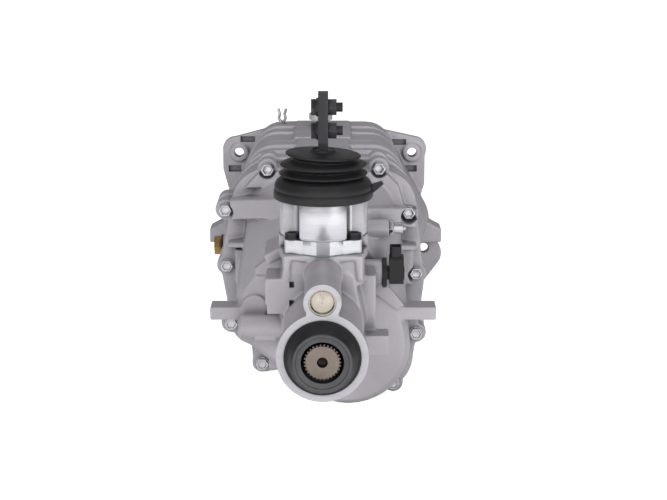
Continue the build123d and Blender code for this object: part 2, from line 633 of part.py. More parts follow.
with BuildPart() as extension_housing:
    extrude(wrap(behind(plate_rear), CASE_OUTLINE, FLANGE_RIM), amount=EXTENSION_FLANGE)
    for place in CASE_BOLTS:
        extrude(disc(behind(plate_rear, place), CASE_BOSS_R), amount=EXTENSION_FLANGE)
    loft([wrap(behind(flange_rear), CHAMBER_FRONT), wrap(behind(chamber_edge), chamber_edge_line)], ruled=True)
    loft(
        [
            wrap(behind(chamber_edge), chamber_edge_line),
            wrap(behind(chamber_rear), CHAMBER_OUTLINE, -CHAMBER_BEVEL),
        ],
        ruled=True,
    )
    loft([wrap(behind(chamber_rear), NECK_OUTLINE), wrap(behind(neck_rear), NECK_REAR)], ruled=True)
    extrude(disc(behind(neck_rear), TAIL_R), amount=TAIL_LENGTH)
    extrude(disc(behind(tail_face - TAIL_RING_LENGTH), TAIL_RING_R), amount=TAIL_RING_LENGTH)
    # The control bore's tube and the web that ties it to the tail tube
    extrude(disc(behind(chamber_rear, control_line), WELCH_BOSS_R), amount=tail_face - chamber_rear)
    web_height = CONTROL_HEIGHT / 2
    extrude(
        slab(behind(chamber_rear, (0.0, web_height)), 1.7 * WELCH_BOSS_R, CONTROL_HEIGHT),
        amount=tail_face - chamber_rear,
    )
    # Turret pedestal
    extrude(slab(turret_top, 2 * PEDESTAL_HALF, 2 * PEDESTAL_HALF, 12.0), amount=-34.0)
    extrude(disc(turret_top, RETAINER_R), amount=-10.0)
    # Sensor boss, switch boss, support lugs and the rear mount pad
    extrude(disc(sensor_face, SENSOR_BOSS_R), amount=-(SENSOR_FACE - 20.0))
    extrude(disc(switch_face, 1.5 * SWITCH_R), amount=-2.5 * SWITCH_R)
    for side, (inner, outer, top, bottom) in MOUNT_LUGS.items():
        add(upright_box((side * (inner - 30.0), lug_front, bottom), (side * outer, chamber_rear, top)))
    extrude(slab(pad_face, PAD_WIDTH, PAD_LENGTH, 6.0), amount=-abs(PAD_HEIGHT) * 0.7)
    # Bosses, blocks and ribs beside the neck
    for corners in SIDE_BLOCKS:
        low, high = [(x, chamber_rear + back, z) for x, back, z in corners]
        add(upright_box(low, high))
    cross_boss = Plane(
        origin=(CROSS_BOSS[0], -CROSS_BOSS_STATION, CROSS_BOSS[1]), x_dir=(0, 1, 0), z_dir=(1, 0, 0)
    )
    extrude(disc(cross_boss, CROSS_BOSS_R), amount=abs(CROSS_BOSS[0]) - 30.0)
    extrude(disc(behind(chamber_edge, ROUND_BOSS), ROUND_BOSS_R), amount=CHAMBER_BEVEL + 5.0)
    for profile in NECK_RIBS:
        extrude(shape(behind(chamber_edge), profile), amount=CHAMBER_BEVEL + RIB_WIDTH / 2)

    # Chamber cavity, tail bore, control tunnel and turret opening
    extrude(
        wrap(behind(plate_rear), CASE_OUTLINE, -CASE_WALL),
        amount=EXTENSION_FLANGE,
        mode=Mode.SUBTRACT,
    )
    loft(
        [
            wrap(behind(flange_rear), CHAMBER_FRONT, -CASE_WALL),
            wrap(behind(chamber_end), between(CHAMBER_FRONT, CHAMBER_OUTLINE, chamber_share), -CASE_WALL),
        ],
        ruled=True,
        mode=Mode.SUBTRACT,
    )
    extrude(disc(behind(chamber_end), TAIL_BORE_R), amount=tail_face - chamber_end, mode=Mode.SUBTRACT)
    seal_seat = disc(behind(tail_face - SEAL_DEPTH), SEAL_R + SEAT)
    extrude(seal_seat, amount=SEAL_DEPTH, mode=Mode.SUBTRACT)
    control_bore = disc(behind(chamber_end, control_line), CONTROL_R + RUN)
    extrude(control_bore, amount=tail_face - chamber_end, mode=Mode.SUBTRACT)
    tunnel = disc(behind(cup_front, control_line), TUNNEL_R)
    extrude(tunnel, amount=cup_rear - cup_front, mode=Mode.SUBTRACT)
    extrude(disc(turret_top, TUNNEL_R), amount=CONTROL_HEIGHT - PEDESTAL_HEIGHT, mode=Mode.SUBTRACT)
    welch_seat = disc(behind(tail_face - WELCH_DEPTH, control_line), WELCH_R + SEAT)
    extrude(welch_seat, amount=WELCH_DEPTH, mode=Mode.SUBTRACT)
    sensor_bore = disc(sensor_face, SENSOR_BORE_R + SEAT)
    extrude(sensor_bore, amount=-(SENSOR_FACE + SENSOR_BORE_R), mode=Mode.SUBTRACT)
    extrude(disc(switch_face, SWITCH_R + SEAT), amount=-6 * SWITCH_R, mode=Mode.SUBTRACT)
    for place in TAPPED_SLOTS:
        slot = slab(behind(LEFT_BLOCK_END - 8.0, place), 5.0, 7.0)
        extrude(slot, amount=8.0, mode=Mode.SUBTRACT)
    with BuildSketch(turret_top) as tapped:
        with GridLocations(2 * RETAINER_BOLT, 2 * RETAINER_BOLT, 2, 2):
            Circle(CASE_BOLT_R + RUN)
    extrude(tapped.sketch, amount=-RETAINER_THREAD, mode=Mode.SUBTRACT)
    with BuildSketch(pad_face) as pad_holes:
        with GridLocations(PAD_SPACING_X, PAD_SPACING_Y, 2, 2):
            Circle(PAD_HOLE_R)
    extrude(pad_holes.sketch, amount=-PAD_HOLE_DEPTH, mode=Mode.SUBTRACT)
    for place in CASE_BOLTS:
        hole = disc(behind(plate_rear, place), CASE_BOLT_R + HOLE_CLEARANCE)
        extrude(hole, amount=EXTENSION_FLANGE, mode=Mode.SUBTRACT)
        pocket = disc(behind(flange_rear, place), 2 * CASE_BOLT_R + HEAD_CLEARANCE)
        extrude(pocket, amount=HEAD_POCKET, mode=Mode.SUBTRACT)
save(extension_housing, "extension_housing")

# Front bearing retainer: a flange over the input bearing, with the sleeve round the input shaft
RETAINER_PLATE = 8.0
SLEEVE_NOSE_R = 19.0
NOSE_LENGTH = 62.0
NOSE_BASE_R = 25.0
NOSE_BASE = 18.0
FRONT_SEAL_R = 20.0
FRONT_SEAL = 8.0
plate_station = case_front - RETAINER_PLATE
seal_station = plate_station - 6.0
with BuildPart() as front_bearing_retainer:
    nose = [
        (case_front - RETAINER_PLATE - NOSE_LENGTH, plate_station - NOSE_BASE, SLEEVE_NOSE_R),
        (plate_station - NOSE_BASE, plate_station, NOSE_BASE_R),
        (plate_station, case_front, RETAINER_PLATE_R),
    ]
    revolve(turned(MAIN, nose), axis=line_axis(MAIN))
    extrude(
        disc(behind(plate_station - NOSE_LENGTH), INPUT_SHANK_R + 1.0),
        amount=NOSE_LENGTH + RETAINER_PLATE,
        mode=Mode.SUBTRACT,
    )
    seal_pocket = disc(behind(seal_station), FRONT_SEAL_R + SEAT)
    extrude(seal_pocket, amount=case_front - seal_station, mode=Mode.SUBTRACT)
    holes = retainer_screws(plate_station, SCREW_R + HOLE_CLEARANCE)
    extrude(holes, amount=RETAINER_PLATE, mode=Mode.SUBTRACT)
save(front_bearing_retainer, "front_bearing_retainer")


def lathe(line, points):
    """Half section of a turned piece, from its corners given as (radius, station)."""
    with BuildSketch(Plane(origin=(line[0], 0, line[1]), x_dir=(1, 0, 0), z_dir=(0, 0, 1))) as half:
        with BuildLine():
            Polyline(*[(radius, -station) for radius, station in points], close=True)
        make_face()
    return half.sketch


def spline_points(teeth, radius):
    """Outline of a splined shaft with straight-sided teeth."""
    points = []
    for tooth in range(teeth):
        middle = 2 * pi * tooth / teeth
        for reach, share in ((radius - SPLINE_DEPTH, -0.30), (radius, -0.17), (radius, 0.17)):
            angle = middle + share * 2 * pi / teeth
            points.append((reach * cos(angle), reach * sin(angle)))
        angle = middle + 0.30 * 2 * pi / teeth
        points.append(((radius - SPLINE_DEPTH) * cos(angle), (radius - SPLINE_DEPTH) * sin(angle)))
    return points


def dog_and_cone(face, side, bore):
    """Dog ring and friction cone on the side of a gear that faces its synchronizer."""
    dog = face + side * DOG_WIDTH
    tip = dog + side * (RING_WIDTH + 0.5)
    corners = [(bore, face), (HUB_R, face), (HUB_R, dog), (CONE_R + 1, dog), (CONE_R, tip), (bore, tip)]
    revolve(lathe(MAIN, corners), axis=line_axis(MAIN))


counter_to_main = counter_heading + pi
counter_to_idler = atan2(IDLER[1] - COUNTER[1], IDLER[0] - COUNTER[0])
idler_to_main_heading = idler_heading + pi
idler_phase = meshing_phase(COUNTER_REVERSE_TEETH, counter_to_idler, IDLER_TEETH, counter_to_idler)


def driven_phase(counter_teeth, teeth):
    """Phase of a main gear when the countershaft gear has a tooth on the line of centres."""
    return meshing_phase(counter_teeth, counter_to_main, teeth, counter_to_main)


# Input shaft: pilot, clutch splines, bearing seat, drive gear and the pocket for the main shaft
INPUT_TIP = 6.0
PILOT_LENGTH = 20.0
SPLINE_START = 30.0
POCKET_BUSH = 2.0
pocket_front = input_gear + 7.0
cone34_front = zone34 + DOG_WIDTH + RING_WIDTH + 0.5
with BuildPart() as input_shaft:
    steps = [
        (INPUT_TIP, INPUT_TIP + PILOT_LENGTH, INPUT_PILOT_R),
        (INPUT_TIP + PILOT_LENGTH, SPLINE_START + INPUT_SPLINE_LENGTH, INPUT_SPLINE_R - SPLINE_DEPTH),
        (SPLINE_START + INPUT_SPLINE_LENGTH, case_front - 1, INPUT_SHANK_R),
        (case_front - 1, case_inside, INPUT_SEAT_R),
        (case_inside, input_gear, INPUT_SEAT_R + 4),
        (input_gear, zone34, INPUT_SEAT_R + 9),
    ]
    revolve(turned(MAIN, steps), axis=line_axis(MAIN))
    extrude(
        shape(behind(SPLINE_START), spline_points(INPUT_SPLINES, INPUT_SPLINE_R)),
        amount=INPUT_SPLINE_LENGTH,
    )
    gear(input_gear, GEAR_WIDTH, INPUT_TEETH, driven_phase(COUNTER_INPUT_TEETH, INPUT_TEETH))
    dog_and_cone(zone34, 1, MAIN_NOSE_R)
    extrude(
        disc(behind(pocket_front), MAIN_NOSE_R + POCKET_BUSH + SEAT),
        amount=SYNCHRO_ZONE,
        mode=Mode.SUBTRACT,
    )
save(input_shaft, "input_shaft")

# Main shaft, stepped down from its collar to both ends, with the output splines at the tail
hub34 = (middle34 - HUB_WIDTH / 2, middle34 + HUB_WIDTH / 2)
hub12 = (middle12 - HUB_WIDTH / 2, middle12 + HUB_WIDTH / 2)
hub5r = (middle5r - HUB_WIDTH / 2, middle5r + HUB_WIDTH / 2)
GAP = 0.5
shaft_end = tail_face + OUTPUT_PROUD
spline_start = shaft_end - OUTPUT_SPLINE_LENGTH
first_end = first_gear + GEAR_WIDTH
bearing_start = plate_rear - bearing_lip - BEARING_WIDTH
bearing_end = bearing_start + BEARING_WIDTH
reverse_spacer_end = reverse_gear - FACE_GAP / 10
with BuildPart() as main_shaft:
    steps = [
        (pocket_front + 2, hub34[0], MAIN_NOSE_R),
        (hub34[0], hub34[1] + GAP, MAIN_HUB34_R),
        (hub34[1] + GAP, third_gear + GEAR_WIDTH, MAIN_THIRD_R),
        (third_gear + GEAR_WIDTH, second_gear, MAIN_COLLAR_R),
        (second_gear, hub12[0] - GAP, MAIN_SECOND_R),
        (hub12[0] - GAP, hub12[1] + GAP, MAIN_HUB12_R),
        (hub12[1] + GAP, first_end + GAP, MAIN_FIRST_R),
        (first_end + GAP, reverse_spacer_end, MAIN_SEAT_R),
        (reverse_spacer_end, hub5r[0] - GAP, MAIN_REVERSE_R),
        (hub5r[0] - GAP, hub5r[1] + GAP, MAIN_HUB5R_R),
        (hub5r[1] + GAP, fifth_end + 1, MAIN_FIFTH_R),
        (fifth_end + 1, spline_start, MAIN_TAIL_R),
        (spline_start, shaft_end, OUTPUT_SPLINE_R - SPLINE_DEPTH),
    ]
    revolve(turned(MAIN, steps), axis=line_axis(MAIN))
    extrude(
        shape(behind(spline_start), spline_points(OUTPUT_SPLINES, OUTPUT_SPLINE_R)),
        amount=OUTPUT_SPLINE_LENGTH - 1.0,
    )
    centre = [(0, shaft_end - 14), (0, shaft_end), (OUTPUT_CENTRE_R, shaft_end), (OUTPUT_CENTRE_R, shaft_end - 10)]
    revolve(lathe(MAIN, centre), axis=line_axis(MAIN), mode=Mode.SUBTRACT)
save(main_shaft, "main_shaft")


def free_gear(station, teeth, counter_teeth, bore, side):
    """Gear that runs on the main shaft, with its dog ring towards the sleeve."""
    face = station if side < 0 else station + GEAR_WIDTH
    with BuildPart() as wheel:
        gear(station, GEAR_WIDTH, teeth, driven_phase(counter_teeth, teeth))
        dog_and_cone(face, side, bore)
        extrude(disc(behind(station - SYNCHRO_ZONE), bore + RUN), amount=3 * SYNCHRO_ZONE, mode=Mode.SUBTRACT)
        dish_r = pitch_radius(teeth) - 3 * MODULE
        if dish_r > HUB_R + 3:
            dish = disc(behind(station + GEAR_WIDTH - 3 if side < 0 else station), dish_r, bore + 6)
            extrude(dish, amount=3, mode=Mode.SUBTRACT)
    return wheel


third_wheel = free_gear(third_gear, THIRD_TEETH, COUNTER_THIRD_TEETH, MAIN_THIRD_R, -1)
save(third_wheel, "third_gear")
second_wheel = free_gear(second_gear, SECOND_TEETH, COUNTER_SECOND_TEETH, MAIN_SECOND_R, 1)
save(second_wheel, "second_gear")
first_wheel = free_gear(first_gear, FIRST_TEETH, COUNTER_FIRST_TEETH, MAIN_FIRST_R, -1)
save(first_wheel, "first_gear")
fifth_wheel = free_gear(fifth_gear, FIFTH_TEETH, COUNTER_FIFTH_TEETH, MAIN_FIFTH_R, -1)
save(fifth_wheel, "fifth_gear")

# Reverse gear on the main shaft, its idler and the idler's fixed shaft
idler_lead = idler_to_main_heading - idler_phase
reverse_phase = idler_to_main_heading + pi + idler_lead * IDLER_TEETH / REVERSE_TEETH + pi / REVERSE_TEETH
with BuildPart() as reverse_wheel:
    gear(reverse_gear, REVERSE_WIDTH, REVERSE_TEETH, reverse_phase)
    extrude(disc(behind(zone5r), HUB_R), amount=DOG_WIDTH)
    extrude(
        disc(behind(reverse_gear), MAIN_REVERSE_R + RUN),
        amount=REVERSE_WIDTH + DOG_WIDTH,
        mode=Mode.SUBTRACT,
    )
save(reverse_wheel, "reverse_gear")

with BuildPart() as reverse_idler_gear:
    gear(reverse_gear, REVERSE_WIDTH, IDLER_TEETH, idler_phase, IDLER)
    bore = disc(behind(reverse_gear, IDLER), IDLER_SHAFT_R + RUN)
    extrude(bore, amount=REVERSE_WIDTH, mode=Mode.SUBTRACT)
save(reverse_idler_gear, "reverse_idler_gear")

IDLER_COLLAR_R = 13.0
with BuildPart() as reverse_idler_shaft:
    steps = [
        (plate_rear - IDLER_SOCKET, plate_rear, IDLER_SHAFT_R),
        (plate_rear, reverse_gear - 0.3, IDLER_COLLAR_R),
        (reverse_gear - 0.3, zone5r + 4, IDLER_SHAFT_R),
    ]
    revolve(turned(IDLER, steps), axis=line_axis(IDLER))
save(reverse_idler_shaft, "reverse_idler_shaft")

# Countershaft cluster and the rear cluster keyed on its tail
COUNTER_GEARS = [
    (input_gear, COUNTER_INPUT_TEETH),
    (third_gear, COUNTER_THIRD_TEETH),
    (second_gear, COUNTER_SECOND_TEETH),
    (first_gear, COUNTER_FIRST_TEETH),
]
counter_end = fifth_end + COUNTER_NUT - 2
with BuildPart() as countershaft:
    steps = [
        (case_front + 1, case_inside, COUNTER_SEAT_R),
        (case_inside, bearing_start, COUNTER_CORE_R),
        (bearing_start, bearing_end, COUNTER_SEAT_R),
        (bearing_end, counter_end, COUNTER_SPLINE_R),
    ]
    revolve(turned(COUNTER, steps), axis=line_axis(COUNTER))
    for station, teeth in COUNTER_GEARS:
        gear(station, GEAR_WIDTH, teeth, counter_to_main, COUNTER)
save(countershaft, "countershaft")

with BuildPart() as counter_rear_gears:
    hub = disc(behind(bearing_end, COUNTER), COUNTER_HUB_R)
    extrude(hub, amount=fifth_end - bearing_end)
    gear(reverse_gear, REVERSE_WIDTH, COUNTER_REVERSE_TEETH, counter_to_idler, COUNTER)
    gear(fifth_gear, GEAR_WIDTH, COUNTER_FIFTH_TEETH, counter_to_main, COUNTER)
    bore = disc(behind(bearing_end, COUNTER), COUNTER_SPLINE_R + SEAT)
    extrude(bore, amount=fifth_end - bearing_end, mode=Mode.SUBTRACT)
save(counter_rear_gears, "counter_rear_gears")

with BuildPart() as counter_nut:
    extrude(hexagon(behind(fifth_end, COUNTER), 3 * COUNTER_SPLINE_R), amount=COUNTER_NUT - 3)
    bore = disc(behind(fifth_end, COUNTER), COUNTER_SPLINE_R + SEAT)
    extrude(bore, amount=COUNTER_NUT, mode=Mode.SUBTRACT)
save(counter_nut, "counter_nut")

# Ball bearings: outer races in the castings, inner races on the shafts, balls between them
BEARINGS = {
    "input": (MAIN, case_front, INPUT_BEARING_R, INPUT_SEAT_R),
    "main": (MAIN, bearing_start, MAIN_BEARING_R, MAIN_SEAT_R),
    "counter_front": (COUNTER, case_front, COUNTER_BEARING_R, COUNTER_SEAT_R),
    "counter_rear": (COUNTER, bearing_start, COUNTER_BEARING_R, COUNTER_SEAT_R),
}


def inner_race(bearing):
    line, station, _, seat = BEARINGS[bearing]
    extrude(disc(behind(station, line), seat + RACE_WALL, seat + SEAT), amount=BEARING_WIDTH)


with BuildPart() as bearing_outer_races:
    for line, station, outer, _ in BEARINGS.values():
        extrude(disc(behind(station, line), outer, outer - RACE_WALL), amount=BEARING_WIDTH)
save(bearing_outer_races, "bearing_outer_races")

# The input shaft carries its inner race outside and the pocket bush inside
with BuildPart() as input_bearing_rings:
    inner_race("input")
    bush = disc(behind(pocket_front + 1), MAIN_NOSE_R + POCKET_BUSH, MAIN_NOSE_R + RUN)
    extrude(bush, amount=cone34_front - pocket_front - 1)
save(input_bearing_rings, "input_bearing_rings")

with BuildPart() as main_inner_race:
    inner_race("main")
save(main_inner_race, "main_inner_race")

with BuildPart() as counter_inner_races:
    inner_race("counter_front")
    inner_race("counter_rear")
save(counter_inner_races, "counter_inner_races")

with BuildPart() as bearing_balls:
    for line, station, outer, seat in BEARINGS.values():
        orbit = (outer + seat) / 2
        ball = (outer - seat) / 2 - RACE_WALL - RUN
        with Locations(behind(station + BEARING_WIDTH / 2, line)):
            with PolarLocations(orbit, BALLS):
                Sphere(ball)
save(bearing_balls, "bearing_balls")

# Synchronizer hubs, rings and sleeves
with BuildPart() as synchro_hubs:
    for (start, _), seat in ((hub34, MAIN_HUB34_R), (hub12, MAIN_HUB12_R), (hub5r, MAIN_HUB5R_R)):
        extrude(disc(behind(start), HUB_R, seat + SEAT), amount=HUB_WIDTH)
save(synchro_hubs, "synchro_hubs")


def synchro_ring(dog_face, side):
    """Blocker ring round a friction cone, between the dog ring and the hub."""
    start = dog_face + side * (GAP + DOG_WIDTH)
    end = start + side * RING_WIDTH
    wide, narrow = CONE_R + 1 + SHIFT_CLEARANCE, CONE_R + 2 * SHIFT_CLEARANCE
    corners = [(wide, start), (HUB_R - 0.3, start), (HUB_R - 0.3, end), (narrow, end)]
    revolve(lathe(MAIN, corners), axis=line_axis(MAIN))


with BuildPart() as synchro_rings:
    synchro_ring(zone34, 1)
    synchro_ring(third_gear, -1)
    synchro_ring(zone12, 1)
    synchro_ring(first_gear, -1)
    synchro_ring(fifth_gear, -1)
save(synchro_rings, "synchro_rings")


def sleeve(middle):
    """Shift sleeve round a hub, with the groove that its fork runs in."""
    front, rear = middle - SLEEVE_WIDTH / 2, middle + SLEEVE_WIDTH / 2
    lip = (SLEEVE_WIDTH - SLEEVE_GROOVE_WIDTH) / 2
    inner = HUB_R + SHIFT_CLEARANCE
    corners = [
        (inner, front),
        (SLEEVE_R, front),
        (SLEEVE_R, front + lip),
        (SLEEVE_GROOVE_R, front + lip),
        (SLEEVE_GROOVE_R, rear - lip),
        (SLEEVE_R, rear - lip),
        (SLEEVE_R, rear),
        (inner, rear),
    ]
    with BuildPart() as ring:
        revolve(lathe(MAIN, corners), axis=line_axis(MAIN))
    return ring


for name, middle in (("34", middle34), ("12", middle12), ("5r", middle5r)):
    save(sleeve(middle), "shift_sleeve_" + name)

# Shift rails with their jaws, side by side over the control finger
JAW_BOTTOM = 71.0
JAW_TOP = 83.0
JAW_BRIDGE = 3.0
jaw_start = finger_station - JAW_LENGTH / 2
finger_start = finger_station - FINGER_LENGTH / 2
rail_rear = finger_station + JAW_LENGTH / 2
jaw_slot = FINGER_LENGTH + 2 * SHIFT_CLEARANCE


def rail(name, rear):
    x, z = RAILS[name]
    side = (x > 0) - (x < 0)
    with BuildPart() as bar:
        extrude(disc(behind(rail_front, (x, z)), RAIL_R), amount=rear - rail_front)
        inner = abs(side) * JAW_PITCH - JAW_WIDTH / 2
        outer = abs(side) * JAW_PITCH + JAW_WIDTH / 2
        if side:
            step = (JAW_BOTTOM + JAW_TOP) / 2
            profile = [
                (inner, JAW_BOTTOM),
                (outer, JAW_BOTTOM),
                (outer, step),
                (abs(x) + RAIL_R, step),
                (abs(x) + RAIL_R, z),
                (abs(x) - RAIL_R, z),
                (abs(x) - RAIL_R, JAW_TOP),
                (inner, JAW_TOP),
            ]
            profile = [(side * across, height) for across, height in profile]
        else:
            profile = [(inner, JAW_BOTTOM), (outer, JAW_BOTTOM), (outer, z), (inner, z)]
        extrude(shape(behind(jaw_start), profile), amount=JAW_LENGTH)
        slot_height = JAW_TOP - JAW_BRIDGE - JAW_BOTTOM
        slot_middle = (side * JAW_PITCH, JAW_BOTTOM + slot_height / 2 - 1)
        slot = slab(behind(finger_station - jaw_slot / 2, slot_middle), JAW_WIDTH + 1, slot_height + 2)
        extrude(slot, amount=jaw_slot, mode=Mode.SUBTRACT)
    return bar


save(rail("12", rail_rear), "shift_rail_12")
save(rail("34", rail_rear), "shift_rail_34")
save(rail("5r", middle5r + FORK_HUB_LENGTH / 2 + 2), "shift_rail_5r")


def fork(name, middle):
    """Shift fork: a half ring in the sleeve's groove, an arm and a hub on the rail."""
    x, z = RAILS[name]
    width = SLEEVE_GROOVE_WIDTH - 2 * SHIFT_CLEARANCE
    plane = behind(middle - width / 2)
    side = (x > 0) - (x < 0)
    foot = side * 0.72 * FORK_OUTER_R
    reach = 12.0 if side == 0 else 9.0
    with BuildPart() as piece:
        with BuildSketch(plane) as outline:
            Circle(FORK_OUTER_R)
            Rectangle(2 * FORK_OUTER_R, FORK_OUTER_R, align=(Align.CENTER, Align.MAX), mode=Mode.SUBTRACT)
            with BuildLine():
                height = sqrt(FORK_OUTER_R**2 - foot**2) - 5
                Polyline(
                    (foot - reach, height),
                    (foot + reach, height),
                    (x + 0.7 * FORK_HUB_R, z),
                    (x - 0.7 * FORK_HUB_R, z),
                    close=True,
                )
            make_face()
            Circle(SLEEVE_GROOVE_R + SHIFT_CLEARANCE, mode=Mode.SUBTRACT)
        extrude(outline.sketch, amount=width)
        hub = disc(behind(middle - FORK_HUB_LENGTH / 2, (x, z)), FORK_HUB_R)
        extrude(hub, amount=FORK_HUB_LENGTH)
        bore = disc(behind(middle - FORK_HUB_LENGTH, (x, z)), RAIL_R + SEAT)
        extrude(bore, amount=2 * FORK_HUB_LENGTH, mode=Mode.SUBTRACT)
    return piece


save(fork("12", middle12), "shift_fork_12")
save(fork("34", middle34), "shift_fork_34")
save(fork("5r", middle5r), "shift_fork_5r")

# Detents over the rails: each a ball, a spring and a threaded plug
spring_foot = RAIL_R + 2 * DETENT_BALL_R + 4 * RUN
SPRING_WALL = 1.2
with BuildPart() as detents:
    for x, z in RAILS.values():
        with Locations((x, -detent_station, z + RAIL_R + DETENT_BALL_R + RUN)):
            Sphere(DETENT_BALL_R)
        coil_r = DETENT_BALL_R - SHIFT_CLEARANCE
        coil = disc(detent_plane(x, z + spring_foot), coil_r, coil_r - SPRING_WALL)
        extrude(coil, amount=DETENT_SPRING - spring_foot - 2 * RUN)
        plug = detent_plane(x, z + DETENT_SPRING)
        extrude(disc(plug, DETENT_PLUG_R), amount=DETENT_PLUG_LENGTH)
        socket = hexagon(plug.offset(DETENT_PLUG_LENGTH / 2), DETENT_PLUG_R)
        extrude(socket, amount=DETENT_PLUG_LENGTH, mode=Mode.SUBTRACT)
save(detents, "detents")

# Control shaft: finger under the jaws, cup under the lever and a bearing in the tail
CONTROL_END = 9.0
FINGER_TIP = 1.0
CUP_WALL_TOP = 3.0
control_front = finger_start - 5.5
cup_height = CONTROL_HEIGHT + CUP_RADIUS
finger_top = JAW_TOP - JAW_BRIDGE - FINGER_TIP
with BuildPart() as control_shaft:
    length = tail_face - WELCH_DEPTH - CONTROL_END - control_front
    extrude(disc(behind(control_front, control_line), CONTROL_R), amount=length)
    finger_middle = (0.0, (CONTROL_HEIGHT + finger_top) / 2)
    finger = slab(behind(finger_start, finger_middle), FINGER_WIDTH, finger_top - CONTROL_HEIGHT)
    extrude(finger, amount=FINGER_LENGTH)
    cup_top = cup_height + CUP_WALL_TOP
    cup_low = (-CUP_HALF, turret_station - CUP_HALF, CONTROL_HEIGHT)
    add(upright_box(cup_low, (CUP_HALF, turret_station + CUP_HALF, cup_top)))
    pocket = CUP_BALL_R + CUP_CLEARANCE
    with Locations((0, -turret_station, cup_top)):
        floor = cup_top - cup_height + CUP_BALL_R + 1
        Box(
            2 * pocket,
            2 * pocket,
            floor,
            align=(Align.CENTER, Align.CENTER, Align.MAX),
            mode=Mode.SUBTRACT,
        )
save(control_shaft, "control_shaft")

INTERLOCK_R = 9.6
interlock_front = plate_rear + 4.5
interlock_rear = finger_start + FINGER_LENGTH + SHIFT_TRAVEL + 3
with BuildPart() as interlock_plate:
    ring = disc(behind(interlock_front, control_line), INTERLOCK_R, CONTROL_R + RUN)
    extrude(ring, amount=interlock_rear - interlock_front)
    window = finger_start - SHIFT_TRAVEL - SHIFT_CLEARANCE
    window_length = FINGER_LENGTH + 2 * SHIFT_TRAVEL + 2 * SHIFT_CLEARANCE
    slot = slab(behind(window, (0.0, CONTROL_HEIGHT + INTERLOCK_R)), FINGER_WIDTH + 0.6, 2 * INTERLOCK_R)
    extrude(slot, amount=window_length, mode=Mode.SUBTRACT)
save(interlock_plate, "interlock_plate")

SPRING_WIRE_R = 1.1
spring_line_r = CONTROL_R + 2.6
spring_room = cup_rear - turret_station - CUP_HALF
with BuildPart() as centring_spring:
    coils = 5
    for coil in range(coils):
        station = turret_station + CUP_HALF + spring_room * (coil + 0.5) / coils
        with Locations(behind(station, control_line)):
            Torus(spring_line_r, SPRING_WIRE_R)
save(centring_spring, "centring_spring")

# Lever retainer: turned drum with a base flange and four milled bolt pockets
pivot_height = cup_height + LEVER_ARM
SEAT_R = 22.0
SEAT_HALF = 9.0
LEDGE = 4.0
LEDGE_HOLE_R = 16.0
GROOVE = 1.2
retainer_top = Plane(
    origin=(0, -turret_station, PEDESTAL_HEIGHT + RETAINER_HEIGHT), x_dir=(1, 0, 0), z_dir=(0, 0, 1)
)
retainer_base = turret_top.offset(RETAINER_FLANGE)
seat_plane = Plane(
    origin=(0, -turret_station, pivot_height - SEAT_HALF), x_dir=(1, 0, 0), z_dir=(0, 0, 1)
)
with BuildPart() as lever_retainer:
    extrude(disc(turret_top, RETAINER_R), amount=RETAINER_HEIGHT)
    groove = disc(retainer_base, RETAINER_R + 1, RETAINER_R - GROOVE)
    extrude(groove, amount=2 * GROOVE, mode=Mode.SUBTRACT)
    with BuildSketch(retainer_base) as pockets:
        with GridLocations(2 * RETAINER_BOLT, 2 * RETAINER_BOLT, 2, 2):
            Circle(RETAINER_POCKET_R)
    extrude(pockets.sketch, amount=RETAINER_HEIGHT, mode=Mode.SUBTRACT)
    with BuildSketch(turret_top) as bolt_holes:
        with GridLocations(2 * RETAINER_BOLT, 2 * RETAINER_BOLT, 2, 2):
            Circle(CASE_BOLT_R + HOLE_CLEARANCE)
    extrude(bolt_holes.sketch, amount=RETAINER_FLANGE, mode=Mode.SUBTRACT)
    extrude(disc(turret_top, LEDGE_HOLE_R), amount=RETAINER_HEIGHT, mode=Mode.SUBTRACT)
    ledge_height = pivot_height - SEAT_HALF - LEDGE - PEDESTAL_HEIGHT
    extrude(disc(turret_top, TUNNEL_R), amount=ledge_height, mode=Mode.SUBTRACT)
    extrude(disc(seat_plane, SEAT_R + SEAT), amount=RETAINER_HEIGHT, mode=Mode.SUBTRACT)
save(lever_retainer, "lever_retainer")

# Plastic seat round the lever's ball, slotted at each side for the pivot pins
PIN_R = 3.0
PIN_LENGTH = 12.0
PIN_START = 8.5
SLOT_HALF = 5.4
with BuildPart() as lever_ball_seat:
    extrude(disc(seat_plane, SEAT_R, 0.93 * LEVER_BALL_R), amount=2 * SEAT_HALF)
    with Locations((0, -turret_station, pivot_height)):
        Sphere(LEVER_BALL_R + SHIFT_CLEARANCE, mode=Mode.SUBTRACT)
        Box(2 * SEAT_R + 2, 2 * (PIN_R + RUN), 2 * SLOT_HALF, mode=Mode.SUBTRACT)
save(lever_ball_seat, "lever_ball_seat")

SNAP_RING = 2.0
with BuildPart() as seat_snap_ring:
    ring = disc(seat_plane.offset(2 * SEAT_HALF), SEAT_R, SEAT_R - 4.5)
    extrude(ring, amount=SNAP_RING)
save(seat_snap_ring, "seat_snap_ring")

with BuildPart() as lever_pivot_pins:
    for side in (1, -1):
        pin = Plane(
            origin=(side * PIN_START, -turret_station, pivot_height), x_dir=(0, 1, 0), z_dir=(side, 0, 0)
        )
        extrude(disc(pin, PIN_R), amount=PIN_LENGTH)
save(lever_pivot_pins, "lever_pivot_pins")

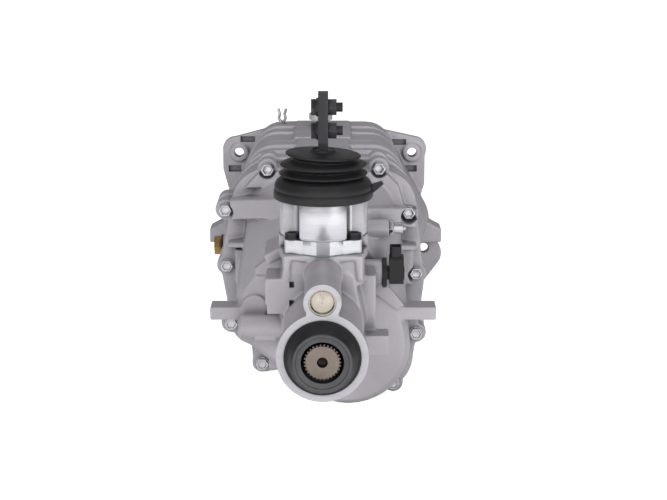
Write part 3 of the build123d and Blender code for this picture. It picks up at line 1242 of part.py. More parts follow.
# Shift lever: ball and lower arm, round shank, collar and the flat bar with its two eyes
ARM_R = 7.0
ARM_TIP_R = 4.0
SHANK_R = 8.0
COLLAR_R = 11.0
COLLAR_HEIGHT = 58.0
COLLAR_LENGTH = 8.0
upright = Plane(origin=(0, -turret_station, pivot_height), x_dir=(1, 0, 0), z_dir=(0, -1, 0))
lever_bar_start = COLLAR_HEIGHT + COLLAR_LENGTH
with BuildPart() as shift_lever:
    with BuildSketch(upright) as arm:
        with BuildLine():
            Polyline(
                (0, -LEVER_ARM),
                (ARM_TIP_R, -LEVER_ARM),
                (ARM_TIP_R, -LEVER_ARM + 1.4 * CUP_BALL_R),
                (ARM_R, -LEVER_BALL_R - 2),
                (SHANK_R, LEVER_BALL_R),
                (SHANK_R, COLLAR_HEIGHT - 6),
                (COLLAR_R, COLLAR_HEIGHT),
                (COLLAR_R, lever_bar_start),
                (0, lever_bar_start),
                close=True,
            )
        make_face()
    revolve(arm.sketch, axis=Axis((0, -turret_station, 0), (0, 0, 1)))
    with Locations((0, -turret_station, pivot_height)):
        Sphere(LEVER_BALL_R)
    with Locations((0, -turret_station, cup_height)):
        Sphere(CUP_BALL_R)
    flat = Plane(
        origin=(-LEVER_THICKNESS / 2, -turret_station, pivot_height), x_dir=(0, 1, 0), z_dir=(1, 0, 0)
    )
    foot = COLLAR_R - 2.0
    bar = [
        (-foot, lever_bar_start - 1),
        (foot, lever_bar_start - 1),
        (LEVER_WIDTH / 2, lever_bar_start + 9),
        (LEVER_WIDTH / 2, LEVER_TOP),
        (-LEVER_WIDTH / 2, LEVER_TOP),
        (-LEVER_WIDTH / 2, lever_bar_start + 9),
    ]
    extrude(shape(flat, bar, 2.0), amount=LEVER_THICKNESS)
    for side in (1, -1):
        pin = Plane(
            origin=(side * (PIN_START - 1), -turret_station, pivot_height),
            x_dir=(0, 1, 0),
            z_dir=(side, 0, 0),
        )
        extrude(disc(pin, PIN_R + RUN), amount=LEVER_BALL_R, mode=Mode.SUBTRACT)
    with BuildSketch(flat) as eyes:
        for height in LEVER_EYES:
            with Locations((0, height)):
                Circle(EYE_BOLT_R + HOLE_CLEARANCE)
    extrude(eyes.sketch, amount=LEVER_THICKNESS, mode=Mode.SUBTRACT)
save(shift_lever, "shift_lever")

# Bolts and nuts through the lever's eyes
EYE_NUT = 9.0
EYE_THREAD = 6.5
eye_planes = [
    Plane(
        origin=(-LEVER_THICKNESS / 2, -turret_station, pivot_height + height),
        x_dir=(0, 1, 0),
        z_dir=(-1, 0, 0),
    )
    for height in LEVER_EYES
]
with BuildPart() as lever_bolts:
    for plane in eye_planes:
        bolt(plane, LEVER_THICKNESS + EYE_NUT + EYE_THREAD, EYE_BOLT_R, 1.1)
save(lever_bolts, "lever_bolts")

with BuildPart() as lever_nuts:
    for plane in eye_planes:
        far_side = plane.offset(-LEVER_THICKNESS - EYE_NUT)
        extrude(hexagon(far_side, 3.2 * EYE_BOLT_R), amount=EYE_NUT)
        extrude(disc(far_side, EYE_BOLT_R + SEAT), amount=EYE_NUT, mode=Mode.SUBTRACT)
save(lever_nuts, "lever_nuts")

# Rubber boot: a skirt over the retainer's rim, a dome and three bellows up to the collar
boot_foot = PEDESTAL_HEIGHT + RETAINER_HEIGHT - BOOT_OVERLAP
BOOT_PROFILE = [
    (48.6, -2.0),
    (53.0, -2.0),
    (53.6, 6.0),
    (50.5, 15.0),
    (45.0, 20.0),
    (41.0, 22.0),
    (45.0, 26.0),
    (45.0, 29.0),
    (39.0, 31.0),
    (43.0, 35.0),
    (43.0, 38.0),
    (35.0, 40.0),
    (37.5, 44.0),
    (37.0, 47.5),
    (24.0, 51.0),
    (COLLAR_R + 0.4, 52.0),
    (COLLAR_R + 0.4, 49.5),
    (23.0, 48.5),
    (34.0, 45.5),
    (32.0, 40.0),
    (40.0, 36.5),
    (36.0, 31.0),
    (42.0, 27.5),
    (38.0, 22.0),
    (43.5, 17.5),
    (48.0, 13.0),
    (50.5, 6.5),
    (48.6, 6.0),
]
with BuildPart() as lever_boot:
    boot_plane = Plane(origin=(0, -turret_station, boot_foot), x_dir=(1, 0, 0), z_dir=(0, -1, 0))
    revolve(shape(boot_plane, BOOT_PROFILE), axis=Axis((0, -turret_station, 0), (0, 0, 1)))
save(lever_boot, "lever_boot")

# Seals, tail bush, welch plug and snap ring
seal_front = tail_face - SEAL_DEPTH
seal_end = tail_face + SEAL_PROUD
SEAL_SECTION = [
    (SEAL_LIP_R, seal_front),
    (SEAL_R, seal_front),
    (SEAL_R, tail_face + 1.5),
    (36.5, tail_face + 3.0),
    (31.2, seal_end - 2.5),
    (29.8, seal_end),
    (27.2, seal_end),
    (26.4, seal_end - 1.4),
    (21.6, seal_end - 2.4),
    (21.6, seal_end - 4.2),
    (27.5, seal_end - 4.0),
    (34.0, tail_face + 2.0),
    (34.5, seal_front + 4.5),
    (24.5, seal_front + 4.5),
    (SEAL_LIP_R, seal_front + 3.0),
]
with BuildPart() as output_oil_seal:
    revolve(lathe(MAIN, SEAL_SECTION), axis=line_axis(MAIN))
save(output_oil_seal, "output_oil_seal")

with BuildPart() as input_oil_seal:
    lip = INPUT_SHANK_R + 0.2
    section = [
        (lip, seal_station + 1),
        (FRONT_SEAL_R, seal_station),
        (FRONT_SEAL_R, seal_station + FRONT_SEAL),
        (lip + 3, seal_station + FRONT_SEAL),
        (lip + 2, seal_station + 3),
        (lip, seal_station + 3),
    ]
    revolve(lathe(MAIN, section), axis=line_axis(MAIN))
save(input_oil_seal, "input_oil_seal")

with BuildPart() as tail_bush:
    ring = disc(behind(seal_front - BUSH_LENGTH), TAIL_BORE_R - SEAT, TAIL_BORE_R - BUSH_WALL)
    extrude(ring, amount=BUSH_LENGTH)
save(tail_bush, "tail_bush")

with BuildPart() as welch_plug:
    dish = [
        (0.0, tail_face - WELCH_DEPTH + 1.0),
        (WELCH_R - 2.5, tail_face - WELCH_DEPTH),
        (WELCH_R, tail_face - WELCH_DEPTH),
        (WELCH_R, tail_face - 1.5),
        (WELCH_R - 1.5, tail_face - 1.5),
        (WELCH_R - 3.0, tail_face - 3.5),
        (0.0, tail_face - 2.5),
    ]
    revolve(lathe(control_line, dish), axis=line_axis(control_line))
save(welch_plug, "welch_plug")

SPACER_R = 28.0
with BuildPart() as main_spacers:
    front_spacer = first_end + GAP
    ring = disc(behind(front_spacer), SPACER_R, MAIN_SEAT_R + SEAT)
    extrude(ring, amount=bearing_start - front_spacer)
    ring = disc(behind(bearing_end), SPACER_R, MAIN_SEAT_R + SEAT)
    extrude(ring, amount=reverse_spacer_end - bearing_end)
    ring = disc(behind(fifth_end + GAP), MAIN_FIFTH_R + 4, MAIN_FIFTH_R + SEAT)
    extrude(ring, amount=GAP)
    ring = disc(behind(fifth_end + 2 * GAP), MAIN_FIFTH_R + 4, MAIN_TAIL_R + SEAT)
    extrude(ring, amount=3.0)
save(main_spacers, "main_spacers")

# Speed sensor with its driven gear over the drive ring on the main shaft
DRIVE_RING_R = 23.2
DRIVE_RING = 20.0
DRIVEN_R = 10.4
DRIVEN_LENGTH = 16.0
DRIVEN_TEETH = 12
STEM_R = 4.0
SENSOR_FLANGE_R = 17.0
SENSOR_FLANGE = 4.5
SENSOR_BODY_R = 12.0
SENSOR_BODY = 20.0
stem_end = SENSOR_FACE - 8.0
with BuildPart() as speed_drive_ring:
    extrude(
        shape(behind(SENSOR_STATION - DRIVE_RING / 2), spline_points(2 * DRIVEN_TEETH, DRIVE_RING_R)),
        amount=DRIVE_RING,
    )
    bore = disc(behind(SENSOR_STATION - DRIVE_RING), MAIN_TAIL_R + SEAT)
    extrude(bore, amount=2 * DRIVE_RING, mode=Mode.SUBTRACT)
save(speed_drive_ring, "speed_drive_ring")

with BuildPart() as speed_driven_gear:
    extrude(
        shape(sensor_face.offset(-SENSOR_FACE - DRIVEN_LENGTH / 2), spline_points(DRIVEN_TEETH, DRIVEN_R)),
        amount=DRIVEN_LENGTH,
    )
    extrude(disc(sensor_face.offset(-SENSOR_FACE), STEM_R), amount=stem_end)
save(speed_driven_gear, "speed_driven_gear")

with BuildPart() as speed_sensor:
    extrude(disc(sensor_face, SENSOR_FLANGE_R), amount=SENSOR_FLANGE)
    extrude(disc(sensor_face, SENSOR_BORE_R), amount=-(SENSOR_FACE - DRIVEN_LENGTH))
    extrude(disc(sensor_face.offset(SENSOR_FLANGE), SENSOR_BODY_R - 4), amount=SENSOR_BODY)
    body = sensor_face.offset(SENSOR_FLANGE + 3)
    with BuildSketch(body) as housing:
        with Locations((0, 4)):
            RectangleRounded(1.8 * SENSOR_BODY_R, 2.6 * SENSOR_BODY_R, 4)
    extrude(housing.sketch, amount=SENSOR_BODY - 4)
    plug_plane = Plane(
        origin=(SENSOR_FACE + SENSOR_FLANGE + 10, -SENSOR_STATION, SENSOR_HEIGHT + 14),
        x_dir=(1, 0, 0),
        z_dir=(0, 0, 1),
    )
    extrude(slab(plug_plane, 13.0, 16.0, 3.0), amount=17.0)
    extrude(slab(plug_plane.offset(17), 10.0, 13.0, 2.0), amount=-11.0, mode=Mode.SUBTRACT)
    bore = disc(sensor_face.offset(-SENSOR_FACE), STEM_R + RUN)
    extrude(bore, amount=stem_end + 1, mode=Mode.SUBTRACT)
save(speed_sensor, "speed_sensor")

# Plugs, switch, breather and clip
WASHER = 2.0
with BuildPart() as case_plugs:
    hex_plug(plug_face.offset(WASHER), 16.0, PLUG_R, 9.0)
    hex_plug(drain_face.offset(WASHER), 16.0, PLUG_R, 6.0)
save(case_plugs, "case_plugs")

with BuildPart() as plug_washers:
    for face in (plug_face, drain_face):
        extrude(disc(face, 1.5 * PLUG_R, PLUG_R + SEAT), amount=WASHER)
save(plug_washers, "plug_washers")

with BuildPart() as reverse_light_switch:
    extrude(disc(switch_face, SWITCH_R), amount=-14.0)
    extrude(hexagon(switch_face, 2.6 * SWITCH_R), amount=5.0)
    extrude(disc(switch_face.offset(5), SWITCH_R), amount=11.0)
    extrude(disc(switch_face.offset(16), 0.5 * SWITCH_R), amount=3.0)
save(reverse_light_switch, "reverse_light_switch")

with BuildPart() as breather:
    extrude(disc(breather_seat, BREATHER_R), amount=14.0)
    extrude(disc(breather_seat.offset(14), 3.9 * BREATHER_R), amount=8.0)
    extrude(disc(breather_seat, BREATHER_R), amount=-8.0)
save(breather, "breather")

# Bolts: the long flange bolts through extension, plate and case, the front bolts inside the
# bell with the bearing retainer's screws, and the four that hold the lever retainer
with BuildPart() as case_bolts:
    for place in CASE_BOLTS:
        grip = EXTENSION_FLANGE + PLATE_THICKNESS + CASE_BOLT_THREAD
        bolt(behind(flange_rear, place), grip, CASE_BOLT_R)
save(case_bolts, "case_bolts")


def facing_engine(station, place):
    return Plane(origin=(place[0], -station, place[1]), x_dir=(1, 0, 0), z_dir=(0, 1, 0))


with BuildPart() as front_bolts:
    for place in BELL_BOLTS:
        grip = BELL_REAR_WALL + CASE_FRONT_WALL - FACE_GAP - 1
        bolt(facing_engine(case_front - BELL_REAR_WALL, place), grip, BELL_BOLT_R)
    for turn in range(4):
        angle = radians(45 + 90 * turn)
        place = (SCREW_RING_R * cos(angle), SCREW_RING_R * sin(angle))
        seat = facing_engine(plate_station, place)
        extrude(disc(seat.offset(-RETAINER_PLATE - SCREW_DEPTH + 1), SCREW_R), amount=RETAINER_PLATE + SCREW_DEPTH)
        extrude(hexagon(seat, 3 * SCREW_R), amount=SCREW_R)
save(front_bolts, "front_bolts")

with BuildPart() as retainer_bolts:
    for x in (-RETAINER_BOLT, RETAINER_BOLT):
        for y in (-RETAINER_BOLT, RETAINER_BOLT):
            seat = Plane(
                origin=(x, y - turret_station, PEDESTAL_HEIGHT + RETAINER_FLANGE),
                x_dir=(1, 0, 0),
                z_dir=(0, 0, 1),
            )
            bolt(seat, RETAINER_FLANGE + RETAINER_THREAD - 2, CASE_BOLT_R)
save(retainer_bolts, "retainer_bolts")
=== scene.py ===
import json
import math

import bmesh
import bpy
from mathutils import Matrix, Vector

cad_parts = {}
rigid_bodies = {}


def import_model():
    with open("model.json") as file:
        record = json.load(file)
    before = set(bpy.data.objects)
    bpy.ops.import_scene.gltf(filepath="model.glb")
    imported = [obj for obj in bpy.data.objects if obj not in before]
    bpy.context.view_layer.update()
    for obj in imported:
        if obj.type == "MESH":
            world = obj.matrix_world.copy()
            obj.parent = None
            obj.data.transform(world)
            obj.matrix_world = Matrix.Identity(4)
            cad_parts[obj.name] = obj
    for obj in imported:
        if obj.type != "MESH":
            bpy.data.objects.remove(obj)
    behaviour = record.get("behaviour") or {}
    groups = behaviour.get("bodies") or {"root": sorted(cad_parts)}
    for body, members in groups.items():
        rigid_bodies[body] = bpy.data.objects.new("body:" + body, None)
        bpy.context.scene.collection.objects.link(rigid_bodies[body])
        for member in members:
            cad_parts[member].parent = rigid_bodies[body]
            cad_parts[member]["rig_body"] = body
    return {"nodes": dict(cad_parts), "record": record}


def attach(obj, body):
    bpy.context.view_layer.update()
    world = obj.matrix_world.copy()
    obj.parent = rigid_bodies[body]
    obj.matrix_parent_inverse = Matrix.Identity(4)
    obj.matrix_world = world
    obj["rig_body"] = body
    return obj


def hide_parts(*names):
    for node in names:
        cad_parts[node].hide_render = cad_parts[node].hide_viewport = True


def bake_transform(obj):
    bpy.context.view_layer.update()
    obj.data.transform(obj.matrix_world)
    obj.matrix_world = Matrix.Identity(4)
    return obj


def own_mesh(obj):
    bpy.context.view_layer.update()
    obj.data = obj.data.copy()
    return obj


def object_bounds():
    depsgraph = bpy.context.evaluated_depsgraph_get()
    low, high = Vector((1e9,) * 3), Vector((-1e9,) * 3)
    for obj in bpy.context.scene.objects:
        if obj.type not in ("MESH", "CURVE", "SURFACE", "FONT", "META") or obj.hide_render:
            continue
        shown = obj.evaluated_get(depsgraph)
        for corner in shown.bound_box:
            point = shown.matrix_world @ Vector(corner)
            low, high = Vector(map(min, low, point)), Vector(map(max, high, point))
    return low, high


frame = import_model()
cad_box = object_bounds()
nodes = frame["nodes"]

MM = 0.001
TURRET = 485.0
scene = bpy.context.scene


def at(x, station, z):
    """Point from millimetres across, behind the engine face and up."""
    return Vector((x * MM, -station * MM, z * MM))


# Camera and view

camera_data = bpy.data.cameras.new("camera")
camera = bpy.data.objects.new("camera", camera_data)
scene.collection.objects.link(camera)
CAMERA_PITCH = 14.0
camera.location = (0.011, -2.1178, 0.4798)
camera.rotation_euler = (math.radians(90.0 - CAMERA_PITCH), 0.0, 0.0)
camera_data.lens = 83.66
camera_data.sensor_width = 36.0
scene.camera = camera
scene.view_settings.view_transform = "Standard"


# Materials

class Tree:
    """Shader tree of a material or of the room."""

    def __init__(self, tree):
        self.tree = tree

    def add(self, kind, **values):
        node = self.tree.nodes.new(kind)
        for key, value in values.items():
            setattr(node, key, value)
        return node

    def link(self, source, target):
        self.tree.links.new(source, target)

    def give(self, target, value):
        """Sets a socket to a value, or joins it to the source that the value is."""
        if isinstance(value, bpy.types.NodeSocket):
            self.link(value, target)
        else:
            target.default_value = value

    def reach(self, source, start, end, low=0.0, high=1.0):
        """Moves a value from one range into another."""
        node = self.add("ShaderNodeMapRange")
        node.inputs["From Min"].default_value = start
        node.inputs["From Max"].default_value = end
        node.inputs["To Min"].default_value = low
        node.inputs["To Max"].default_value = high
        self.link(source, node.inputs["Value"])
        return node.outputs["Result"]

    def math(self, operation, first, second):
        node = self.add("ShaderNodeMath", operation=operation)
        self.give(node.inputs[0], first)
        self.give(node.inputs[1], second)
        return node.outputs["Value"]

    def either(self, share, first, second):
        """Number that goes from first to second as the share rises."""
        node = self.add("ShaderNodeMix", data_type="FLOAT")
        self.link(share, node.inputs[0])
        self.give(node.inputs[2], first)
        self.give(node.inputs[3], second)
        return node.outputs[0]


class Nodes(Tree):
    """Shader tree of one material."""

    def __init__(self, name):
        self.material = bpy.data.materials.new(name)
        self.material.use_nodes = True
        super().__init__(self.material.node_tree)
        self.shader = self.tree.nodes["Principled BSDF"]
        self.place = self.add("ShaderNodeTexCoord").outputs["Object"]

    def noise(self, scale, detail=4.0, roughness=0.55, stretch=(1, 1, 1)):
        mapping = self.add("ShaderNodeMapping")
        mapping.inputs["Scale"].default_value = stretch
        self.link(self.place, mapping.inputs["Vector"])
        node = self.add("ShaderNodeTexNoise")
        node.inputs["Scale"].default_value = scale
        node.inputs["Detail"].default_value = detail
        node.inputs["Roughness"].default_value = roughness
        self.link(mapping.outputs["Vector"], node.inputs["Vector"])
        return node.outputs["Fac"]

    def ramp(self, source, stops):
        node = self.add("ShaderNodeValToRGB")
        ramp = node.color_ramp
        while len(ramp.elements) < len(stops):
            ramp.elements.new(0.5)
        for element, (place, colour) in zip(ramp.elements, stops):
            element.position = place
            element.color = (*colour, 1.0)
        self.link(source, node.inputs["Fac"])
        return node.outputs["Color"]

    def spread(self, source, low, high):
        """Widens a noise's middle part to a range."""
        return self.reach(source, 0.3, 0.7, low, high)

    def mix(self, share, first, second):
        node = self.add("ShaderNodeMix", data_type="RGBA")
        for socket, value in (("Factor", share), ("A", first), ("B", second)):
            target = [s for s in node.inputs if s.name == socket and s.enabled][0]
            if isinstance(value, tuple):
                target.default_value = (*value, 1.0)
            elif isinstance(value, float):
                target.default_value = value
            else:
                self.link(value, target)
        return [s for s in node.outputs if s.enabled][0]

    def bump(self, source, strength, distance, under=None):
        node = self.add("ShaderNodeBump")
        node.inputs["Strength"].default_value = strength
        node.inputs["Distance"].default_value = distance
        self.link(source, node.inputs["Height"])
        if under is not None:
            self.link(under, node.inputs["Normal"])
        return node.outputs["Normal"]

    def edges(self, low, high):
        """Share that rises on worn, outward edges."""
        geometry = self.add("ShaderNodeNewGeometry")
        return self.reach(geometry.outputs["Pointiness"], low, high)

    def painted_corner_shade(self, distance, low, high):
        """Share that rises in corners and recesses, where it darkens the colour as painted shade."""
        node = self.add("ShaderNodeAmbientOcclusion", samples=4)
        node.inputs["Distance"].default_value = distance
        return self.reach(node.outputs["AO"], high, low)

    def set(self, name, value):
        self.shader.inputs[name].default_value = value

    def feed(self, name, source):
        self.link(source, self.shader.inputs[name])


def cast_metal(name, light, dark, roughness, grain, metallic):
    m = Nodes(name)
    broad = m.noise(9.0, 5.0)
    base = m.ramp(broad, [(0.3, dark), (0.7, light)])
    speck = m.noise(900.0, 2.0)
    base = m.mix(m.spread(speck, 0.0, 0.35), base, tuple(0.8 * c for c in dark))
    # Painted shade: the colour darkens in corners and recesses, where less light falls.
    corner_shade_share = m.painted_corner_shade(0.02, 0.25, 0.8)
    base = m.mix(corner_shade_share, base, tuple(0.33 * c for c in dark))
    m.feed("Base Color", base)
    m.set("Metallic", metallic)
    m.feed("Roughness", m.spread(m.noise(40.0, 4.0), *roughness))
    fine = m.bump(m.noise(1400.0, 3.0), grain, 0.0003)
    m.feed("Normal", m.bump(m.noise(180.0, 4.0), 0.4 * grain, 0.0012, fine))
    return m.material


def machined(name, light, dark, roughness, metallic=1.0, lines=(1, 1, 1), strength=0.06):
    m = Nodes(name)
    base = m.ramp(m.noise(30.0, 4.0, stretch=lines), [(0.3, dark), (0.7, light)])
    # Painted shade: the colour darkens in corners and recesses, where less light falls.
    base = m.mix(m.painted_corner_shade(0.006, 0.3, 0.85), base, tuple(0.3 * c for c in dark))
    m.feed("Base Color", base)
    m.set("Metallic", metallic)
    streaks = m.noise(420.0, 3.0, stretch=lines)
    m.feed("Roughness", m.spread(streaks, roughness * 0.8, roughness * 1.25))
    m.feed("Normal", m.bump(streaks, strength, 0.0004))
    return m.material


def coated(name, light, dark, roughness, grain=0.15, scale=500.0, metallic=0.0, worn=None):
    m = Nodes(name)
    base = m.ramp(m.noise(25.0, 5.0), [(0.3, dark), (0.7, light)])
    if worn:
        base = m.mix(m.edges(0.52, 0.6), base, worn)
    m.feed("Base Color", base)
    m.set("Metallic", metallic)
    m.feed("Roughness", m.spread(m.noise(60.0, 4.0), *roughness))
    m.feed("Normal", m.bump(m.noise(scale, 3.0), grain, 0.0004))
    return m.material


RING_BLUR = 0.0008


def rubber_with_lit_ring(name, radius, inner, outer, roughness):
    """Rubber round the shaft line: a lighter grey within a radius, painted light where the raised lip faces
    the front lights, and near-black beyond it.
    """
    m = Nodes(name)
    across = m.add("ShaderNodeSeparateXYZ")
    m.link(m.place, across.inputs["Vector"])
    flat = m.add("ShaderNodeCombineXYZ")
    m.link(across.outputs["X"], flat.inputs["X"])
    m.link(across.outputs["Z"], flat.inputs["Z"])
    length = m.add("ShaderNodeVectorMath", operation="LENGTH")
    m.link(flat.outputs["Vector"], length.inputs[0])
    beyond = m.reach(length.outputs["Value"], radius - RING_BLUR, radius + RING_BLUR)
    worn = m.ramp(m.noise(60.0, 5.0), [(0.3, tuple(0.7 * c for c in inner)), (0.7, inner)])
    # Painted light: the lighter inner colour stands for the lip lit from the front; the noise only varies its
    # tone.
    m.feed("Base Color", m.mix(beyond, worn, outer))
    m.feed("Roughness", m.spread(m.noise(90.0, 4.0), *roughness))
    m.feed("Normal", m.bump(m.noise(900.0, 3.0), 0.2, 0.0004))
    return m.material


CAST = cast_metal("cast_alloy", (0.53, 0.51, 0.545), (0.43, 0.41, 0.445), (0.42, 0.6), 0.35, 0.55)
FACED = machined("faced_alloy", (0.57, 0.56, 0.595), (0.49, 0.48, 0.515), 0.46, metallic=0.7,
                 lines=(1, 1, 6), strength=0.05)
TURNED = machined("turned_alloy", (0.82, 0.82, 0.86), (0.72, 0.72, 0.77), 0.23, lines=(1, 1, 14))
ZINC = machined("zinc_plate", (0.80, 0.80, 0.82), (0.62, 0.62, 0.65), 0.22)
GEAR = machined("gear_steel", (0.50, 0.48, 0.46), (0.40, 0.38, 0.36), 0.30)
SHAFT = machined("shaft_steel", (0.34, 0.29, 0.25), (0.24, 0.20, 0.17), 0.38, lines=(1, 6, 1))
BLACK = coated("black_steel", (0.020, 0.020, 0.023), (0.011, 0.011, 0.013), (0.28, 0.42),
               metallic=0.3, worn=(0.06, 0.06, 0.065))
RUBBER = coated("black_rubber", (0.013, 0.013, 0.014), (0.008, 0.008, 0.009), (0.38, 0.52), grain=0.1)
# Seal rubber with a painted lit ring inside a 30 mm radius.
SEAL = rubber_with_lit_ring("seal_rubber", 0.030, (0.055, 0.055, 0.06), (0.006, 0.006, 0.007), (0.4, 0.55))
PLASTIC = coated("black_plastic", (0.012, 0.012, 0.013), (0.007, 0.007, 0.008), (0.35, 0.5), grain=0.2,
                 scale=1200.0)
BRASS = machined("brass", (0.62, 0.40, 0.15), (0.45, 0.27, 0.09), 0.28)
BRONZE = machined("bronze", (0.42, 0.29, 0.17), (0.32, 0.21, 0.12), 0.35)
PRESSED = machined("pressed_plug", (0.72, 0.66, 0.58), (0.58, 0.52, 0.45), 0.24)
GASKET = coated("gasket_paper", (0.10, 0.17, 0.17), (0.07, 0.12, 0.12), (0.6, 0.8))
SPRING = machined("spring_steel", (0.40, 0.40, 0.42), (0.30, 0.30, 0.32), 0.3)

SLOT_LOOK = {
    "cast_alloy": CAST,
    "turned_alloy": TURNED,
    "zinc_steel": ZINC,
    "gear_steel": GEAR,
    "black_steel": BLACK,
    "black_rubber": RUBBER,
    "black_plastic": PLASTIC,
    "brass": BRASS,
    "bronze": BRONZE,
    "bright_metal": PRESSED,
    "spring_steel": SPRING,
}
slot_of = {}
for part in frame["record"]["subparts"]:
    slot_of[part["node"]] = part["material_slot"]
for name, node in nodes.items():
    look = SLOT_LOOK[slot_of[name]]
    if name == "main_shaft":
        look = SHAFT
    if name == "output_oil_seal":
        look = SEAL
    node.data.materials.clear()
    node.data.materials.append(look)


# Solid building blocks, each a closed shape in the casting's own mesh

def new_piece(name, mesh_builder, material, body):
    mesh = bpy.data.meshes.new(name)
    bm = bmesh.new()
    mesh_builder(bm)
    bmesh.ops.recalc_face_normals(bm, faces=bm.faces)
    bm.to_mesh(mesh)
    bm.free()
    piece = bpy.data.objects.new(name, mesh)
    scene.collection.objects.link(piece)
    mesh.materials.append(material)
    finish_piece(piece, body)
    return piece


def finish_piece(piece, body):
    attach(piece, body)


def hull(bm, points):
    """Convex solid round points given as (x, station, z)."""
    verts = [bm.verts.new(at(*p)) for p in points]
    made = bmesh.ops.convex_hull(bm, input=verts, use_existing_faces=False)
    loose = [v for v in made["geom_interior"] if isinstance(v, bmesh.types.BMVert)]
    bmesh.ops.delete(bm, geom=loose, context="VERTS")


def corners_of(low, high):
    return [(x, s, z) for x in (low[0], high[0]) for s in (low[1], high[1]) for z in (low[2], high[2])]


def along(outline, start, end):
    """Corners of an outline of (x, z) points drawn from one station to another."""
    return [(x, s, z) for s in (start, end) for x, z in outline]


def block(bm, low, high):
    hull(bm, corners_of(low, high))


def prism(bm, outline, start, end):
    hull(bm, along(outline, start, end))


def rod(bm, start, end, radius, sides=32):
    """Round bar between two points given as (x, station, z)."""
    first, last = at(*start), at(*end)
    turn = (last - first).to_track_quat("Z", "Y").to_matrix()
    points = []
    for centre in (first, last):
        for step in range(sides):
            angle = 2 * math.pi * step / sides
            offset = turn @ Vector((math.cos(angle) * radius * MM, math.sin(angle) * radius * MM, 0))
            points.append(centre + offset)
    verts = [bm.verts.new(p) for p in points]
    bmesh.ops.convex_hull(bm, input=verts, use_existing_faces=False)


def ring(outline, station, grow=0.0, sides=40):
    """Points round the corner circles of an outline at one station."""
    points = []
    for x, z, radius in outline:
        for step in range(sides):
            angle = 2 * math.pi * step / sides
            reach = radius + grow
            points.append((x + reach * math.cos(angle), station, z + reach * math.sin(angle)))
    return points


def between(first, second, share):
    """Outline part of the way from one to another."""
    return [tuple(a + (b - a) * share for a, b in zip(p, q)) for p, q in zip(first, second)]


def bar(place, radius, start, end, sides=32):
    """Corners of a round bar along the shaft at (x, z)."""
    return ring([(*place, radius)], start, sides=sides) + ring([(*place, radius)], end, sides=sides)


def applied(piece):
    """Bakes a piece's modifiers into its mesh."""
    bpy.context.view_layer.update()
    graph = bpy.context.evaluated_depsgraph_get()
    mesh = bpy.data.meshes.new_from_object(piece.evaluated_get(graph))
    old = piece.data
    piece.modifiers.clear()
    piece.data = mesh
    bpy.data.meshes.remove(old)
    return piece


def cut(piece, solids, operation="DIFFERENCE", crossed=False):
    """Takes convex solids, each a list of (x, station, z) corners, out of a piece."""
    mesh = bpy.data.meshes.new("cutter")
    bm = bmesh.new()
    for corners in solids:
        hull(bm, corners)
    bmesh.ops.recalc_face_normals(bm, faces=bm.faces)
    bm.to_mesh(mesh)
    bm.free()
    cutter = bpy.data.objects.new("cutter", mesh)
    scene.collection.objects.link(cutter)
    difference = piece.modifiers.new("cut", "BOOLEAN")
    difference.object = cutter
    difference.operation = operation
    difference.solver = "EXACT"
    difference.use_self = crossed
    applied(piece)
    bpy.data.objects.remove(cutter)
    bpy.data.meshes.remove(mesh)


def welded(mesh):
    """Closed copy of a node's mesh, as a piece of its own."""
    copy = mesh.copy()
    bm = bmesh.new()
    bm.from_mesh(copy)
    bmesh.ops.remove_doubles(bm, verts=bm.verts, dist=WELD)
    bm.to_mesh(copy)
    bm.free()
    piece = bpy.data.objects.new("part", copy)
    scene.collection.objects.link(piece)
    return piece


# Fillet passes over a cast piece, and the angles above which an edge is bevelled or drawn sharp
FILLET_PASSES = 4
BEVEL_ANGLE = 28.0
EDGE_SHARP_ANGLE = 35.0
CUT_SHARP_ANGLE = 60.0
WELD = 1e-6


def casting(name, node, extras, trims=(), hollows=(), cuts=None, voxel=1.5):
    """Fused copy of a casting: trimmed, with what is added round its hollows, and cast fillets.
    Cuts come last, so that they stay crisp."""
    base = welded(nodes[node].data)
    for solids in trims:
        cut(base, solids)
    mesh = bpy.data.meshes.new("added")
    bm = bmesh.new()
    extras(bm)
    bmesh.ops.recalc_face_normals(bm, faces=bm.faces)
    bm.to_mesh(mesh)
    bm.free()
    added = bpy.data.objects.new("added", mesh)
    scene.collection.objects.link(added)
    for solids in hollows:
        cut(added, solids, crossed=True)
    mesh = bpy.data.meshes.new(name)
    bm = bmesh.new()
    bm.from_mesh(base.data)
    bm.from_mesh(added.data)
    bm.to_mesh(mesh)
    bm.free()
    for spare in (base, added):
        bpy.data.objects.remove(spare)
    piece = bpy.data.objects.new(name, mesh)
    scene.collection.objects.link(piece)
    remesh = piece.modifiers.new("fuse", "REMESH")
    remesh.mode = "VOXEL"
    remesh.voxel_size = voxel * MM
    remesh.use_smooth_shade = True
    applied(piece)
    blur = piece.modifiers.new("fillets", "SMOOTH")
    blur.factor = 0.5
    blur.iterations = FILLET_PASSES
    applied(piece)
    piece.data.materials.clear()
    piece.data.materials.append(CAST)
    if cuts:
        cut(piece, cuts)
    for polygon in piece.data.polygons:
        polygon.use_smooth = True
        polygon.material_index = 0
    if cuts:
        piece.data.set_sharp_from_angle(angle=math.radians(CUT_SHARP_ANGLE))
    finish_piece(piece, "housing")
    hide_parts(node)
    return piece


